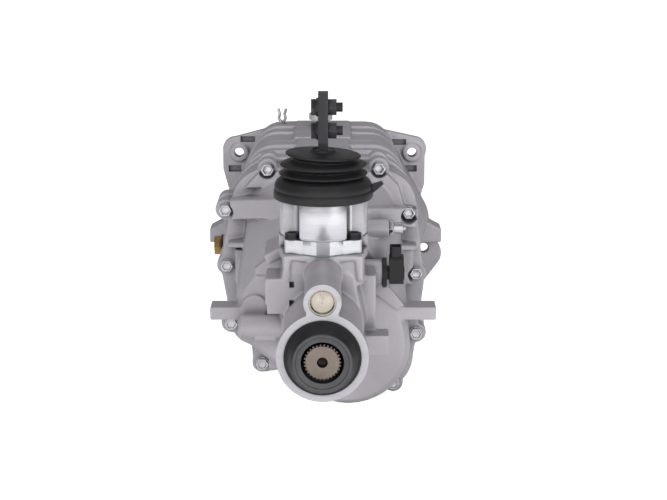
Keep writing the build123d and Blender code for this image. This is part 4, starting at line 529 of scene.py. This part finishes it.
def softened(name, node, width=0.4, dish=None, cuts=None, kept=None):
    """Copy of a machined node with its edges broken; dish sinks the ends of bolt heads."""
    mesh = nodes[node].data.copy()
    piece = bpy.data.objects.new(name, mesh)
    scene.collection.objects.link(piece)
    bm = bmesh.new()
    bm.from_mesh(mesh)
    bmesh.ops.remove_doubles(bm, verts=bm.verts, dist=WELD)
    bmesh.ops.dissolve_limit(bm, angle_limit=math.radians(1.5), verts=bm.verts, edges=bm.edges)
    if dish:
        way, rim, depth = dish
        ends = [f for f in bm.faces if f.normal.dot(Vector(way)) > 0.999 and len(f.verts) == 6]
        bmesh.ops.inset_individual(bm, faces=ends, thickness=rim * MM, depth=0.0)
        bmesh.ops.inset_individual(bm, faces=ends, thickness=0.5 * rim * MM, depth=-depth * MM)
    bm.to_mesh(mesh)
    bm.free()
    if cuts:
        cut(piece, cuts)
    if kept:
        cut(piece, [kept], "INTERSECT")
    bevel = piece.modifiers.new("edges", "BEVEL")
    bevel.width = width * MM
    bevel.segments = 2
    bevel.limit_method = "ANGLE"
    bevel.angle_limit = math.radians(BEVEL_ANGLE)
    applied(piece)
    for polygon in piece.data.polygons:
        polygon.use_smooth = True
    piece.data.set_sharp_from_angle(angle=math.radians(EDGE_SHARP_ANGLE))
    finish_piece(piece, nodes[node]["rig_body"])
    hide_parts(node)
    return piece


def machined_face(name, node, chosen, inset=0.8, proud=0.15):
    """Thin bright skin on a casting's machined faces, which keep their crisp rims."""
    mesh = bpy.data.meshes.new(name)
    bm = bmesh.new()
    bm.from_mesh(nodes[node].data)
    bmesh.ops.remove_doubles(bm, verts=bm.verts, dist=WELD)
    doomed = [f for f in bm.faces if not chosen(f.calc_center_median() / MM, f.normal)]
    bmesh.ops.delete(bm, geom=doomed, context="FACES")
    bmesh.ops.dissolve_limit(bm, angle_limit=math.radians(1.0), verts=bm.verts, edges=bm.edges)
    rim = bmesh.ops.inset_region(bm, faces=bm.faces[:], thickness=inset * MM, use_even_offset=True)
    bmesh.ops.delete(bm, geom=rim["faces"], context="FACES")
    for face in bm.faces:
        for vert in face.verts:
            vert.tag = True
    for vert in bm.verts:
        if vert.tag and vert.link_faces:
            vert.co += vert.link_faces[0].normal * proud * MM
    bm.to_mesh(mesh)
    bm.free()
    piece = bpy.data.objects.new(name, mesh)
    scene.collection.objects.link(piece)
    solid = piece.modifiers.new("skin", "SOLIDIFY")
    solid.thickness = 0.6 * MM
    solid.offset = -1.0
    applied(piece)
    piece.data.materials.clear()
    piece.data.materials.append(FACED)
    finish_piece(piece, "housing")
    return piece


# Corner circles of the castings' outlines, anticlockwise from the lower right: x, z, radius
CASE_OUTLINE = [
    (58.0, -90.0, 42.0),
    (66.0, 0.0, 34.0),
    (58.0, 98.0, 35.0),
    (-62.0, 98.0, 36.0),
    (-82.0, 8.0, 32.0),
    (-84.0, -54.0, 22.0),
]
FLANGE_OUTLINE = [
    (62.0, -92.0, 44.0),
    (78.0, 0.0, 40.0),
    (66.0, 92.0, 42.0),
    (-66.0, 94.0, 42.0),
    (-84.0, 20.0, 38.0),
    (-84.0, -52.0, 26.0),
]
FLANGE_LUG = [(-74.3, -100.7, 12.0), (-20.0, -84.0, 20.0), (-70.0, -70.0, 14.0)]
BELL_OUTLINE = [
    (45.0, -55.0, 74.0),
    (100.0, 0.0, 44.0),
    (56.0, 101.0, 34.0),
    (-60.0, 101.0, 34.0),
    (-100.0, 0.0, 44.0),
    (-45.0, -55.0, 74.0),
]
CHAMBER_FRONT = [
    (46.0, -76.0, 50.0),
    (60.0, 0.0, 34.0),
    (52.0, 100.0, 34.0),
    (-52.0, 100.0, 34.0),
    (-72.0, 4.0, 30.0),
    (-74.0, -34.0, 28.0),
]
CHAMBER_OUTLINE = [
    (26.0, -58.0, 74.0),
    (48.0, 0.0, 36.0),
    (24.0, 59.0, 29.0),
    (-22.0, 55.0, 28.0),
    (-72.0, -2.0, 27.0),
    (-72.0, -36.0, 27.0),
]
CASE_BOLTS = [
    (-65.7, 135.5),
    (63.8, 136.7),
    (-115.3, 87.3),
    (98.9, 84.0),
    (-114.6, 20.3),
    (108.3, 10.9),
    (-110.6, -50.7),
    (109.3, -63.1),
    (-74.3, -100.7),
    (82.6, -125.0),
]
SHOULDERS = [
    (18.0, [(-110.0, 79.0), (-40.0, 79.0), (-40.0, 102.0), (-106.0, 102.0)]),
    (10.0, [(-92.0, 115.0), (-40.0, 115.0), (-40.0, 134.0), (-74.0, 134.0)]),
    (15.0, [(-104.0, 2.0), (-60.0, 2.0), (-60.0, 43.0), (-104.0, 43.0)]),
    (11.0, [(-87.0, 40.0), (-83.0, 40.0), (-83.0, 82.0), (-87.0, 82.0)]),
    (18.0, [(40.0, 70.0), (108.0, 70.0), (94.0, 93.0), (40.0, 93.0)]),
    (11.0, [(40.0, 100.0), (60.0, 100.0), (93.0, 93.0), (86.0, 118.0), (70.0, 134.0), (40.0, 134.0)]),
    (14.0, [(60.0, 0.0), (104.0, 0.0), (104.0, 42.0), (60.0, 46.0)]),
    (11.0, [(84.0, 40.0), (88.0, 40.0), (88.0, 72.0), (84.0, 72.0)]),
]
CASE_WALL = 8.0
CHAMBER_WALL = 6.0
PLATE_FRONT = 310.0
PLATE_REAR = 330.0
FLANGE_REAR = 348.0
CHAMBER_EDGE = 406.0
CHAMBER_REAR = 413.0
chamber_edge_line = between(CHAMBER_FRONT, CHAMBER_OUTLINE, 0.89)
chamber_inside = ring(CHAMBER_FRONT, PLATE_REAR - 1, -CHAMBER_WALL)
chamber_inside += ring(CHAMBER_FRONT, FLANGE_REAR, -CHAMBER_WALL)
chamber_inside += ring(between(CHAMBER_FRONT, CHAMBER_OUTLINE, 0.85), 403.0, -CHAMBER_WALL)

# Ledges and ribs that run from the flange's edge in to the turret column:
# outer x, inner x, low and high z at the outer end, and how far behind the flange each end stands
LEDGES = [
    (-109.0, -50.0, 79.0, 102.0, 16.0, 48.0), (-112.0, -50.0, 45.0, 51.0, 16.0, 54.0),
    (108.0, 50.0, 70.0, 92.0, 16.0, 48.0), (108.0, 50.0, 42.0, 48.0, 16.0, 54.0),
]
LEDGE_SLOPE = 0.25
PEDESTAL_FRONT = 529.0
BLOCK_FACE = 530.0


SHAFT_AXIS = (0, 0)
CONTROL_AXIS = (0, 57)
CASE_BOSS_R = 12.0
SUPPORT_LUGS = [
    ((60.0, 383.0, -28.0), (128.5, CHAMBER_REAR, -13.0)),
    ((-130.5, 383.0, -28.0), (-60.0, CHAMBER_REAR, -13.0)),
]
LOW_BLOCK = ((-65.0, 336.0, -98.0), (-30.0, 380.0, -77.0))
TUBE_BLOCK = ((-60.0, 500.0, 13.0), (-22.0, BLOCK_FACE, 52.0))
CROSS_BOSS = ((-95, 430, -30), (-30, 430, -30), 13.0)
ROUND_BOSS = ((-79, 404, -12), (-79, 418, -12), 15.0)
SWITCH_BOSS = ((74, 402, 78), (36, 402, 78), 10.5)
# Fillers where the neck's sides meet the chamber, and a web from the turret down to the neck
NECK_FILLERS = [
    ([(-30, 26), (-78, 26), (-78, 34), (-46, 60), (-30, 60)], 404, 416),
    ([(40, 30), (58, 34), (92, -10), (84, -16), (50, 10)], 404, 416),
    ([(-66, 62), (-44, 74), (-44, 60), (-60, 52)], 392, 470),
]
# Raised frames on the pedestal's front, either side of the control tube
FRAME_BARS = [[(42, 77), (9, 77), (11, 69.5), (34, 73)], [(42, 77), (34, 73), (36, 50), (42, 50)]]
FRAME_PROUD = 2.2


def extension_extras(bm):
    # Flange with its bolt bosses and lug, and the chamber behind it
    hull(bm, ring(FLANGE_OUTLINE, PLATE_REAR) + ring(FLANGE_OUTLINE, FLANGE_REAR))
    hull(bm, ring(FLANGE_LUG, PLATE_REAR) + ring(FLANGE_LUG, FLANGE_REAR))
    for place in CASE_BOLTS:
        hull(bm, bar(place, CASE_BOSS_R, PLATE_REAR, FLANGE_REAR))
    chamber = ring(CHAMBER_FRONT, FLANGE_REAR - 2) + ring(chamber_edge_line, CHAMBER_EDGE)
    hull(bm, chamber + ring(CHAMBER_OUTLINE, CHAMBER_REAR + 0.6, CHAMBER_EDGE - CHAMBER_REAR))
    for depth, outline in SHOULDERS:
        prism(bm, outline, FLANGE_REAR - 2, FLANGE_REAR + depth)
    for low, high in SUPPORT_LUGS + [LOW_BLOCK, TUBE_BLOCK]:
        block(bm, low, high)
    for start, end, radius in (CROSS_BOSS, ROUND_BOSS, SWITCH_BOSS):
        rod(bm, start, end, radius)
    for outline, start, end in NECK_FILLERS:
        prism(bm, outline, start, end)
    for outer, inner, bottom, top, near, far in LEDGES:
        lift = LEDGE_SLOPE * (far - near)
        ends = ((outer, 346.0, 0), (outer, 348.0 + near, 0), (inner, 346.0, lift), (inner, 348.0 + far, lift))
        hull(bm, [(x, s, z + rise) for x, s, rise in ends for z in (bottom, top)])
    for side in (-1, 1):
        for corners in FRAME_BARS:
            mirrored = [(side * x, z) for x, z in corners]
            prism(bm, mirrored, PEDESTAL_FRONT - 2, PEDESTAL_FRONT + FRAME_PROUD)


# Two keyways in the face of the block left of the control tube: middle x, low and high z
KEYWAYS = [(-33.4, 42.6, 49.4), (-33.5, 22.6, 29.0)]
KEYWAY_HALF = 2.6
KEYWAY_DEPTH = 9.0
CLEAR = 4.0
keyway_cuts = []
for middle_x, bottom, top in KEYWAYS:
    low = (middle_x - KEYWAY_HALF, BLOCK_FACE - KEYWAY_DEPTH, bottom)
    keyway_cuts.append(corners_of(low, (middle_x + KEYWAY_HALF, BLOCK_FACE + CLEAR, top)))

# The chamber is recast from its front face to its rear wall; behind it stay the neck, turret and tail
extension_trims = [
    [corners_of((-200.0, 320.0, -200.0), (200.0, CHAMBER_REAR + 0.05, 200.0))],
    [along([(-64, 22), (-36.5, 22), (-22, 36.8), (-22, 61), (-64, 61)], BLOCK_FACE, 554.0)],
    [corners_of((-64.0, 480.0, 52.0), (-44.2, 531.0, 62.0))],
    [corners_of((-80.0, 413.0, -80.0), (-53.2, 442.0, -44.6))],
]
HEAD_POCKET_R = 10.0
head_pockets = [bar(place, HEAD_POCKET_R, FLANGE_REAR, FLANGE_REAR + 30) for place in CASE_BOLTS]
extension_hollows = [
    [chamber_inside],
    head_pockets,
    [bar(SHAFT_AXIS, 26.0, 400.0, 416.0)],
    [bar(CONTROL_AXIS, 8.05, 400.0, 416.0)],
]
control_bore = bar(CONTROL_AXIS, 8.8, 401.0, 632.0)
casting("extension_casting", "extension_housing", extension_extras, trims=extension_trims,
        hollows=extension_hollows, cuts=keyway_cuts + [control_bore], voxel=1.2)
TAIL_FACE = 640.0
FACE_SLACK = 0.5
machined_face("tail_face", "extension_housing", lambda c, n: n.y < -0.99 and c.y < FACE_SLACK - TAIL_FACE)

# Bell: plates and bosses round the ear holes, bands on the cone's shoulders and a flat crown
BELL_FLANGE = 12.0
BELL_WALL = 7.0
BELL_REAR = 150.0
BELL_REAR_WALL = 12.0
EARS = [
    [(129, 50, 8.0), (120, 98, 17.0), (100, 30, 30.0)],
    [(-133.5, 71, 8.0), (-124.5, 98, 17.0), (-100, 30, 30.0)],
]
EAR_HOLES = [(118.8, 94.0), (-118.8, 94.0)]
EAR_HOLE_R = 6.5
EAR_BOSS_R = 13.0
EAR_BOSS_PROUD = 4.0
EAR_POCKETS = [(101.0, 108.0, 20.0, 8.0), (113.0, 71.0, 26.0, 9.0), (-107.0, 112.0, 20.0, 8.0),
               (-125.0, 71.0, 18.0, 9.0)]
BELL_CROWN = ((-40.0, 14.0, 130.0), (33.0, 149.0, 138.6))
BELL_BANDS = (52.0, 96.0)
BAND_WIDTH = 7.0
BAND_RISE = 3.5


def bell_extras(bm):
    for ear in EARS:
        hull(bm, [point for x, z, radius in ear for point in bar((x, z), radius, 0, BELL_FLANGE)])
    for place in EAR_HOLES:
        hull(bm, bar(place, EAR_BOSS_R, 0, BELL_FLANGE + EAR_BOSS_PROUD))
    for station in BELL_BANDS:
        share = (station - BELL_FLANGE) / (BELL_REAR - BELL_FLANGE)
        outline = between(BELL_OUTLINE, CASE_OUTLINE, share)
        band = ring(outline, station, BAND_RISE) + ring(outline, station + BAND_WIDTH, BAND_RISE)
        hull(bm, band)
    block(bm, *BELL_CROWN)


bell_inside = ring(BELL_OUTLINE, -1, -BELL_WALL) + ring(BELL_OUTLINE, BELL_FLANGE, -BELL_WALL)
bell_inside += ring(CASE_OUTLINE, BELL_REAR - BELL_REAR_WALL, -BELL_WALL)
ear_cuts = [bar(place, EAR_HOLE_R, -1, 18) for place in EAR_HOLES]
EAR_POCKET_FLOOR = 5.0
for x, z, width, height in EAR_POCKETS:
    low_corner = (x - width / 2, EAR_POCKET_FLOOR, z - height / 2)
    ear_cuts.append(corners_of(low_corner, (x + width / 2, BELL_FLANGE + 1, z + height / 2)))
casting("bell_casting", "bell_housing", bell_extras, hollows=[[bell_inside]], cuts=ear_cuts)

# Gear case: its low left corner is cut back to the flange's line, with the lug below it
LOW_EDGE = [(-140.0, -57.3), (20.0, -122.4), (20.0, -160.0), (-140.0, -160.0)]
LOW_CORNER = [(-137.9, -14.8), (-106.1, -65.8), (-90.0, -91.6), (-150.0, -91.6), (-150.0, -14.8)]
LEFT_EDGE = [(-140.0, 26.0), (-122.6, 22.0), (-110.3, -52.0), (-140.0, -60.0)]


LOW_WALL = [(-97, -73), (20, -120.5), (20, -111), (-97, -64)]
CASE_FLANGE_FRONT = 296.0
CASE_FRONT_WALL = 16.0
CASE_CROWN = ((-36.0, BELL_REAR + 1, 124.0), (31.0, CASE_FLANGE_FRONT, 137.5))


def case_extras(bm):
    hull(bm, ring(FLANGE_LUG, CASE_FLANGE_FRONT) + ring(FLANGE_LUG, PLATE_FRONT))
    prism(bm, LOW_WALL, BELL_REAR, PLATE_FRONT - 2)
    block(bm, *CASE_CROWN)


case_inside = ring(CASE_OUTLINE, BELL_REAR + CASE_FRONT_WALL, -CASE_WALL)
case_inside += ring(CASE_OUTLINE, PLATE_FRONT + 1, -CASE_WALL)
case_trims = [
    [along(LOW_EDGE, BELL_REAR - 1, PLATE_FRONT + 1)],
    [along(LOW_CORNER, BELL_REAR - 1, PLATE_FRONT + 1)],
    [along(LEFT_EDGE, CASE_FLANGE_FRONT - 1, PLATE_FRONT + 1)],
]
casting("case_casting", "gear_case", case_extras, trims=case_trims, hollows=[[case_inside]])
plate_line = ring(FLANGE_OUTLINE, PLATE_FRONT - 1) + ring(FLANGE_OUTLINE, PLATE_REAR + 1)
softened("plate_casting", "bearing_plate", 0.8, kept=plate_line)
LUG_END = [(-74.3, -100.7, 12.0), (-60.0, -90.0, 12.0), (-80.0, -76.0, 8.0)]
new_piece("plate_lug", lambda bm: hull(bm, ring(LUG_END, PLATE_FRONT) + ring(LUG_END, PLATE_REAR)),
          CAST, "housing")
softened("case_bolt_set", "case_bolts", 0.5, dish=((0, -1, 0), 1.8, 1.4))
softened("retainer_bolt_set", "retainer_bolts", 0.5, dish=((0, 0, 1), 1.8, 1.2))
softened("lever_bolt_set", "lever_bolts", 0.5)
softened("lever_nut_set", "lever_nuts", 0.5)
softened("lever_bar", "shift_lever", 0.8)

# Lever retainer: its bolt recesses open outwards, over a faceted foot and a paper gasket
FOOT_LOW = 78.0
FOOT_HIGH = 93.0
FOOT_HALF = 41.0
TURRET_HOLE_R = 24.0
GASKET_GROWTH = 1.015
GASKET_THICKNESS = 0.6
RECESS_PLAN = [(33, 21.5), (60, 21.5), (60, 56), (27, 56), (27, 38)]
SIDE_PLAN = [(x, s) for x in (FOOT_HALF, 60.0) for s in (1.0, 56.0)]


def upright(plan, bottom, top, side=1, way=1):
    """Corners of a plan of (x, distance behind the turret's axis) points, drawn upwards."""
    return [(side * x, TURRET + way * s, z) for x, s in plan for z in (bottom, top)]


recesses = []
for side in (-1, 1):
    for way in (-1, 1):
        recesses.append(upright(RECESS_PLAN, FOOT_HIGH, 142.0, side, way))
    recesses.append(upright(SIDE_PLAN, FOOT_LOW - 5, FOOT_HIGH - 0.5, side))
drum = softened("retainer_drum", "lever_retainer", 0.5, cuts=recesses)
drum.data.materials.append(FACED)
for polygon in drum.data.polygons:
    if abs(polygon.normal.y) > 0.95 and abs(polygon.center.x) > 30 * MM:
        polygon.material_index = 1
FACETS = [(-41, 34.5), (-39.5, 36.0), (-7, 48.5), (7, 48.5), (39.5, 36.0), (41, 34.5)]


def foot(bm):
    plan = FACETS + [(-FOOT_HALF, 2), (FOOT_HALF, 2)]
    hull(bm, upright(plan, FOOT_LOW, FOOT_HIGH - 0.05))


def gasket(bm):
    plan = [(GASKET_GROWTH * x, GASKET_GROWTH * s) for x, s in FACETS + [(-FOOT_HALF, -6), (FOOT_HALF, -6)]]
    hull(bm, upright(plan, FOOT_LOW - GASKET_THICKNESS, FOOT_LOW + 0.3))


circle = [(x, z) for x, station, z in ring([(*SHAFT_AXIS, TURRET_HOLE_R)], 0, sides=48)]
turret_hole = upright(circle, FOOT_LOW - 6, FOOT_HIGH + 6)
cut(new_piece("retainer_foot", foot, TURNED, "housing"), [turret_hole])
cut(new_piece("retainer_gasket", gasket, GASKET, "housing"), [turret_hole])
softened("plug_set", "case_plugs", 0.5)

# The switch screws into the boss on the chamber's side
switch = softened("switch_body", "reverse_light_switch", 0.4)
switch.data.materials.clear()
switch.data.materials.append(ZINC)

# The centring spring's coils, softened, with a mesh of their own
coils = softened("spring_coils", "centring_spring", 0.05)
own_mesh(coils)


CLIP_X = -59.0
CLIP_STATION = 20.0
CLIP_STUD_R = 3.6
CLIP_WIRE_R = 1.9
CLIP_PRONG = [(0.8, 137.0), (4.8, 141.6), (3.2, 148.1), (5.4, 155.4)]


def clip(bm):
    """Wire clip on the bell's shoulder: a stud with two wavy prongs."""
    rod(bm, (CLIP_X, CLIP_STATION, 126), (CLIP_X, CLIP_STATION, 138), CLIP_STUD_R, sides=16)
    for side in (-1, 1):
        line = [(CLIP_X + side * x, CLIP_STATION, z) for x, z in CLIP_PRONG]
        for start, end in zip(line, line[1:]):
            rod(bm, start, end, CLIP_WIRE_R, sides=12)


new_piece("bell_clip_wire", clip, ZINC, "housing")


# Boot: a skirt over the retainer's rim with a dome, and three folds up to the lever's collar.
# Profiles are (radius, height) of the outer skin, from the foot up.
BOOT_WALL = 2.0
SKIRT = [
    (52.4, 131.8), (53.3, 132.6), (53.6, 135.5), (53.4, 139.6), (52.2, 141.6), (52.6, 143.2),
    (52.4, 146.2), (50.4, 150.0), (46.8, 152.8), (42.6, 154.2), (40.0, 154.8),
]
FOLDS = [
    (39.4, 154.6), (42.4, 155.3), (46.4, 157.0), (47.6, 158.2), (46.6, 159.4), (42.0, 161.0),
    (38.4, 162.2), (38.2, 163.4), (41.6, 165.2), (45.6, 166.8), (46.6, 167.8), (45.6, 169.0),
    (40.6, 170.8), (34.6, 172.6), (33.6, 174.0), (35.6, 175.6), (38.8, 176.8), (40.4, 178.0),
    (39.6, 179.4), (35.0, 180.2), (24.0, 180.8), (16.0, 181.2), (13.6, 182.4), (12.4, 184.0),
]
TOP_TILT = 0.05
TILT_FROM = 168.0
TILT_SPAN = 8.0
BOOT_SIDES = 128


def curved(profile, steps=4):
    """Points of a smooth curve through a profile's points."""
    points = []
    for index in range(len(profile) - 1):
        four = [profile[max(0, min(len(profile) - 1, index + k))] for k in (-1, 0, 1, 2)]
        for step in range(steps):
            t = step / steps
            point = []
            for a, b, c, d in zip(*four):
                linear, square, cube = c - a, 2 * a - 5 * b + 4 * c - d, 3 * b - a - 3 * c + d
                point.append(0.5 * (2 * b + linear * t + square * t * t + cube * t**3))
            points.append(tuple(point))
    points.append(profile[-1])
    return points


def revolved(name, profile, tilt=0.0):
    """Rubber shell turned from its outer skin about the lever's line."""
    skin = curved(profile)
    mesh = bpy.data.meshes.new(name)
    bm = bmesh.new()
    lines = []
    for step in range(BOOT_SIDES):
        angle = 2 * math.pi * step / BOOT_SIDES
        line = []
        for radius, height in skin:
            share = min(1.0, max(0.0, (height - TILT_FROM) / TILT_SPAN))
            x = radius * math.cos(angle)
            lift = -tilt * x * share * share * (3 - 2 * share)
            line.append(bm.verts.new(at(x, TURRET + radius * math.sin(angle), height + lift)))
        lines.append(line)
    for step, line in enumerate(lines):
        following = lines[(step + 1) % BOOT_SIDES]
        for index in range(len(skin) - 1):
            bm.faces.new((line[index], line[index + 1], following[index + 1], following[index]))
    bm.normal_update()
    outward = sum(f.normal.dot(f.calc_center_median() - at(0, TURRET, 150)) for f in bm.faces)
    if outward < 0:
        bmesh.ops.reverse_faces(bm, faces=bm.faces)
    bm.to_mesh(mesh)
    bm.free()
    piece = bpy.data.objects.new(name, mesh)
    scene.collection.objects.link(piece)
    wall = piece.modifiers.new("wall", "SOLIDIFY")
    wall.thickness = BOOT_WALL * MM
    wall.offset = -1.0
    applied(piece)
    for polygon in piece.data.polygons:
        polygon.use_smooth = True
    piece.data.materials.append(RUBBER)
    return piece


def with_tab(piece):
    """Moulded pull tab on the right of the skirt."""
    bm = bmesh.new()
    bm.from_mesh(piece.data)
    corners = [(51.0, 136.4), (51.0, 144.6), (62.4, 148.4), (64.6, 146.4), (54.0, 137.4)]
    prism(bm, corners, TURRET - 5.0, TURRET + 5.0)
    bm.to_mesh(piece.data)
    bm.free()
    return piece


skirt = with_tab(revolved("boot_skirt", SKIRT))
folds = revolved("boot_folds", FOLDS, TOP_TILT)
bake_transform(skirt)
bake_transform(folds)
for piece in (skirt, folds):
    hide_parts("lever_boot")


# Floor, backdrop and lights

FLOOR_HALF = 8.0
FLOOR_GAP = 0.0005
floor_height = cad_box[0][2] - FLOOR_GAP
floor_mesh = bpy.data.meshes.new("floor")
bm = bmesh.new()
for x, y in ((-1, -1), (1, -1), (1, 1), (-1, 1)):
    bm.verts.new((x * FLOOR_HALF, y * FLOOR_HALF, floor_height))
bm.faces.new(bm.verts)
bm.to_mesh(floor_mesh)
bm.free()
floor = bpy.data.objects.new("floor", floor_mesh)
scene.collection.objects.link(floor)
FLOOR_GLOW = 0.8
ground = Nodes("ground")
ground.set("Base Color", (0.82, 0.82, 0.82, 1.0))
ground.set("Roughness", 0.9)
glow = ground.add("ShaderNodeEmission")
rays = ground.add("ShaderNodeLightPath")
ground.link(ground.math("MULTIPLY", rays.outputs["Is Camera Ray"], FLOOR_GLOW), glow.inputs["Strength"])
total = ground.add("ShaderNodeAddShader")
ground.link(ground.shader.outputs["BSDF"], total.inputs[0])
ground.link(glow.outputs["Emission"], total.inputs[1])
output = [n for n in ground.tree.nodes if n.type == "OUTPUT_MATERIAL"][0]
ground.link(total.outputs["Shader"], output.inputs["Surface"])
floor_mesh.materials.append(ground.material)

# The room is darker overhead and in two upright bands beside the camera, which the drum mirrors
MIRROR_GAIN = 1.3
BANDS = [
    (0.0, 0.50), (0.05, 0.54), (0.14, 0.36), (0.185, 0.09), (0.23, 0.08), (0.25, 1.0), (0.27, 0.2),
    (0.36, 0.40), (0.5, 0.6), (0.64, 0.35), (0.71, 0.2), (0.73, 1.0), (0.75, 0.09), (0.84, 0.08),
    (0.875, 0.25), (0.89, 0.95), (0.94, 0.95), (0.955, 0.42), (1.0, 0.50),
]
world = bpy.data.worlds.new("studio")
scene.world = world
world.use_nodes = True
studio = Tree(world.node_tree)
background = studio.tree.nodes["Background"]
coordinates = studio.add("ShaderNodeTexCoord")
split = studio.add("ShaderNodeSeparateXYZ")
studio.link(coordinates.outputs["Generated"], split.inputs["Vector"])
depth = studio.reach(split.outputs["Y"], -0.9, 0.5, 1.0, 0.42)
overhead = studio.reach(split.outputs["Z"], 0.2, 0.9, 1.0, 0.45)
heading = studio.math("ARCTAN2", split.outputs["X"], split.outputs["Y"])
bands = studio.add("ShaderNodeValToRGB")
bands.color_ramp.interpolation = "EASE"
while len(bands.color_ramp.elements) < len(BANDS):
    bands.color_ramp.elements.new(0.5)
for element, (place, value) in zip(bands.color_ramp.elements, BANDS):
    element.position = place
    element.color = (value, value, value, 1.0)
studio.link(studio.reach(heading, -math.pi, math.pi), bands.inputs["Fac"])
rays = studio.add("ShaderNodeLightPath")
mirror = studio.math("MULTIPLY", bands.outputs["Color"], MIRROR_GAIN)
mirrored = studio.either(rays.outputs["Is Glossy Ray"], 1.0, mirror)
room = studio.math("MULTIPLY", studio.math("MULTIPLY", depth, overhead), mirrored)
background.inputs["Color"].default_value = (1.0, 1.0, 1.0, 1.0)
studio.link(studio.either(rays.outputs["Is Camera Ray"], room, 1.0), background.inputs["Strength"])


def softbox(name, place, target, width, height, power, mirrored_too=True):
    data = bpy.data.lights.new(name, "AREA")
    data.shape = "RECTANGLE"
    data.size = width
    data.size_y = height
    data.energy = power
    lamp = bpy.data.objects.new(name, data)
    lamp.location = place
    lamp.visible_glossy = mirrored_too
    lamp.rotation_euler = (Vector(target) - Vector(place)).to_track_quat("-Z", "Y").to_euler()
    scene.collection.objects.link(lamp)


middle = (0.0, -0.4, 0.02)
softbox("key", (-0.9, -2.7, 1.2), middle, 1.4, 1.2, 46.0, mirrored_too=False)
softbox("fill", (1.4, -2.4, 0.7), middle, 1.2, 1.4, 36.0, mirrored_too=False)
softbox("top", (0.0, -0.2, 2.2), middle, 1.6, 1.6, 7.0)

bpy.context.view_layer.update()
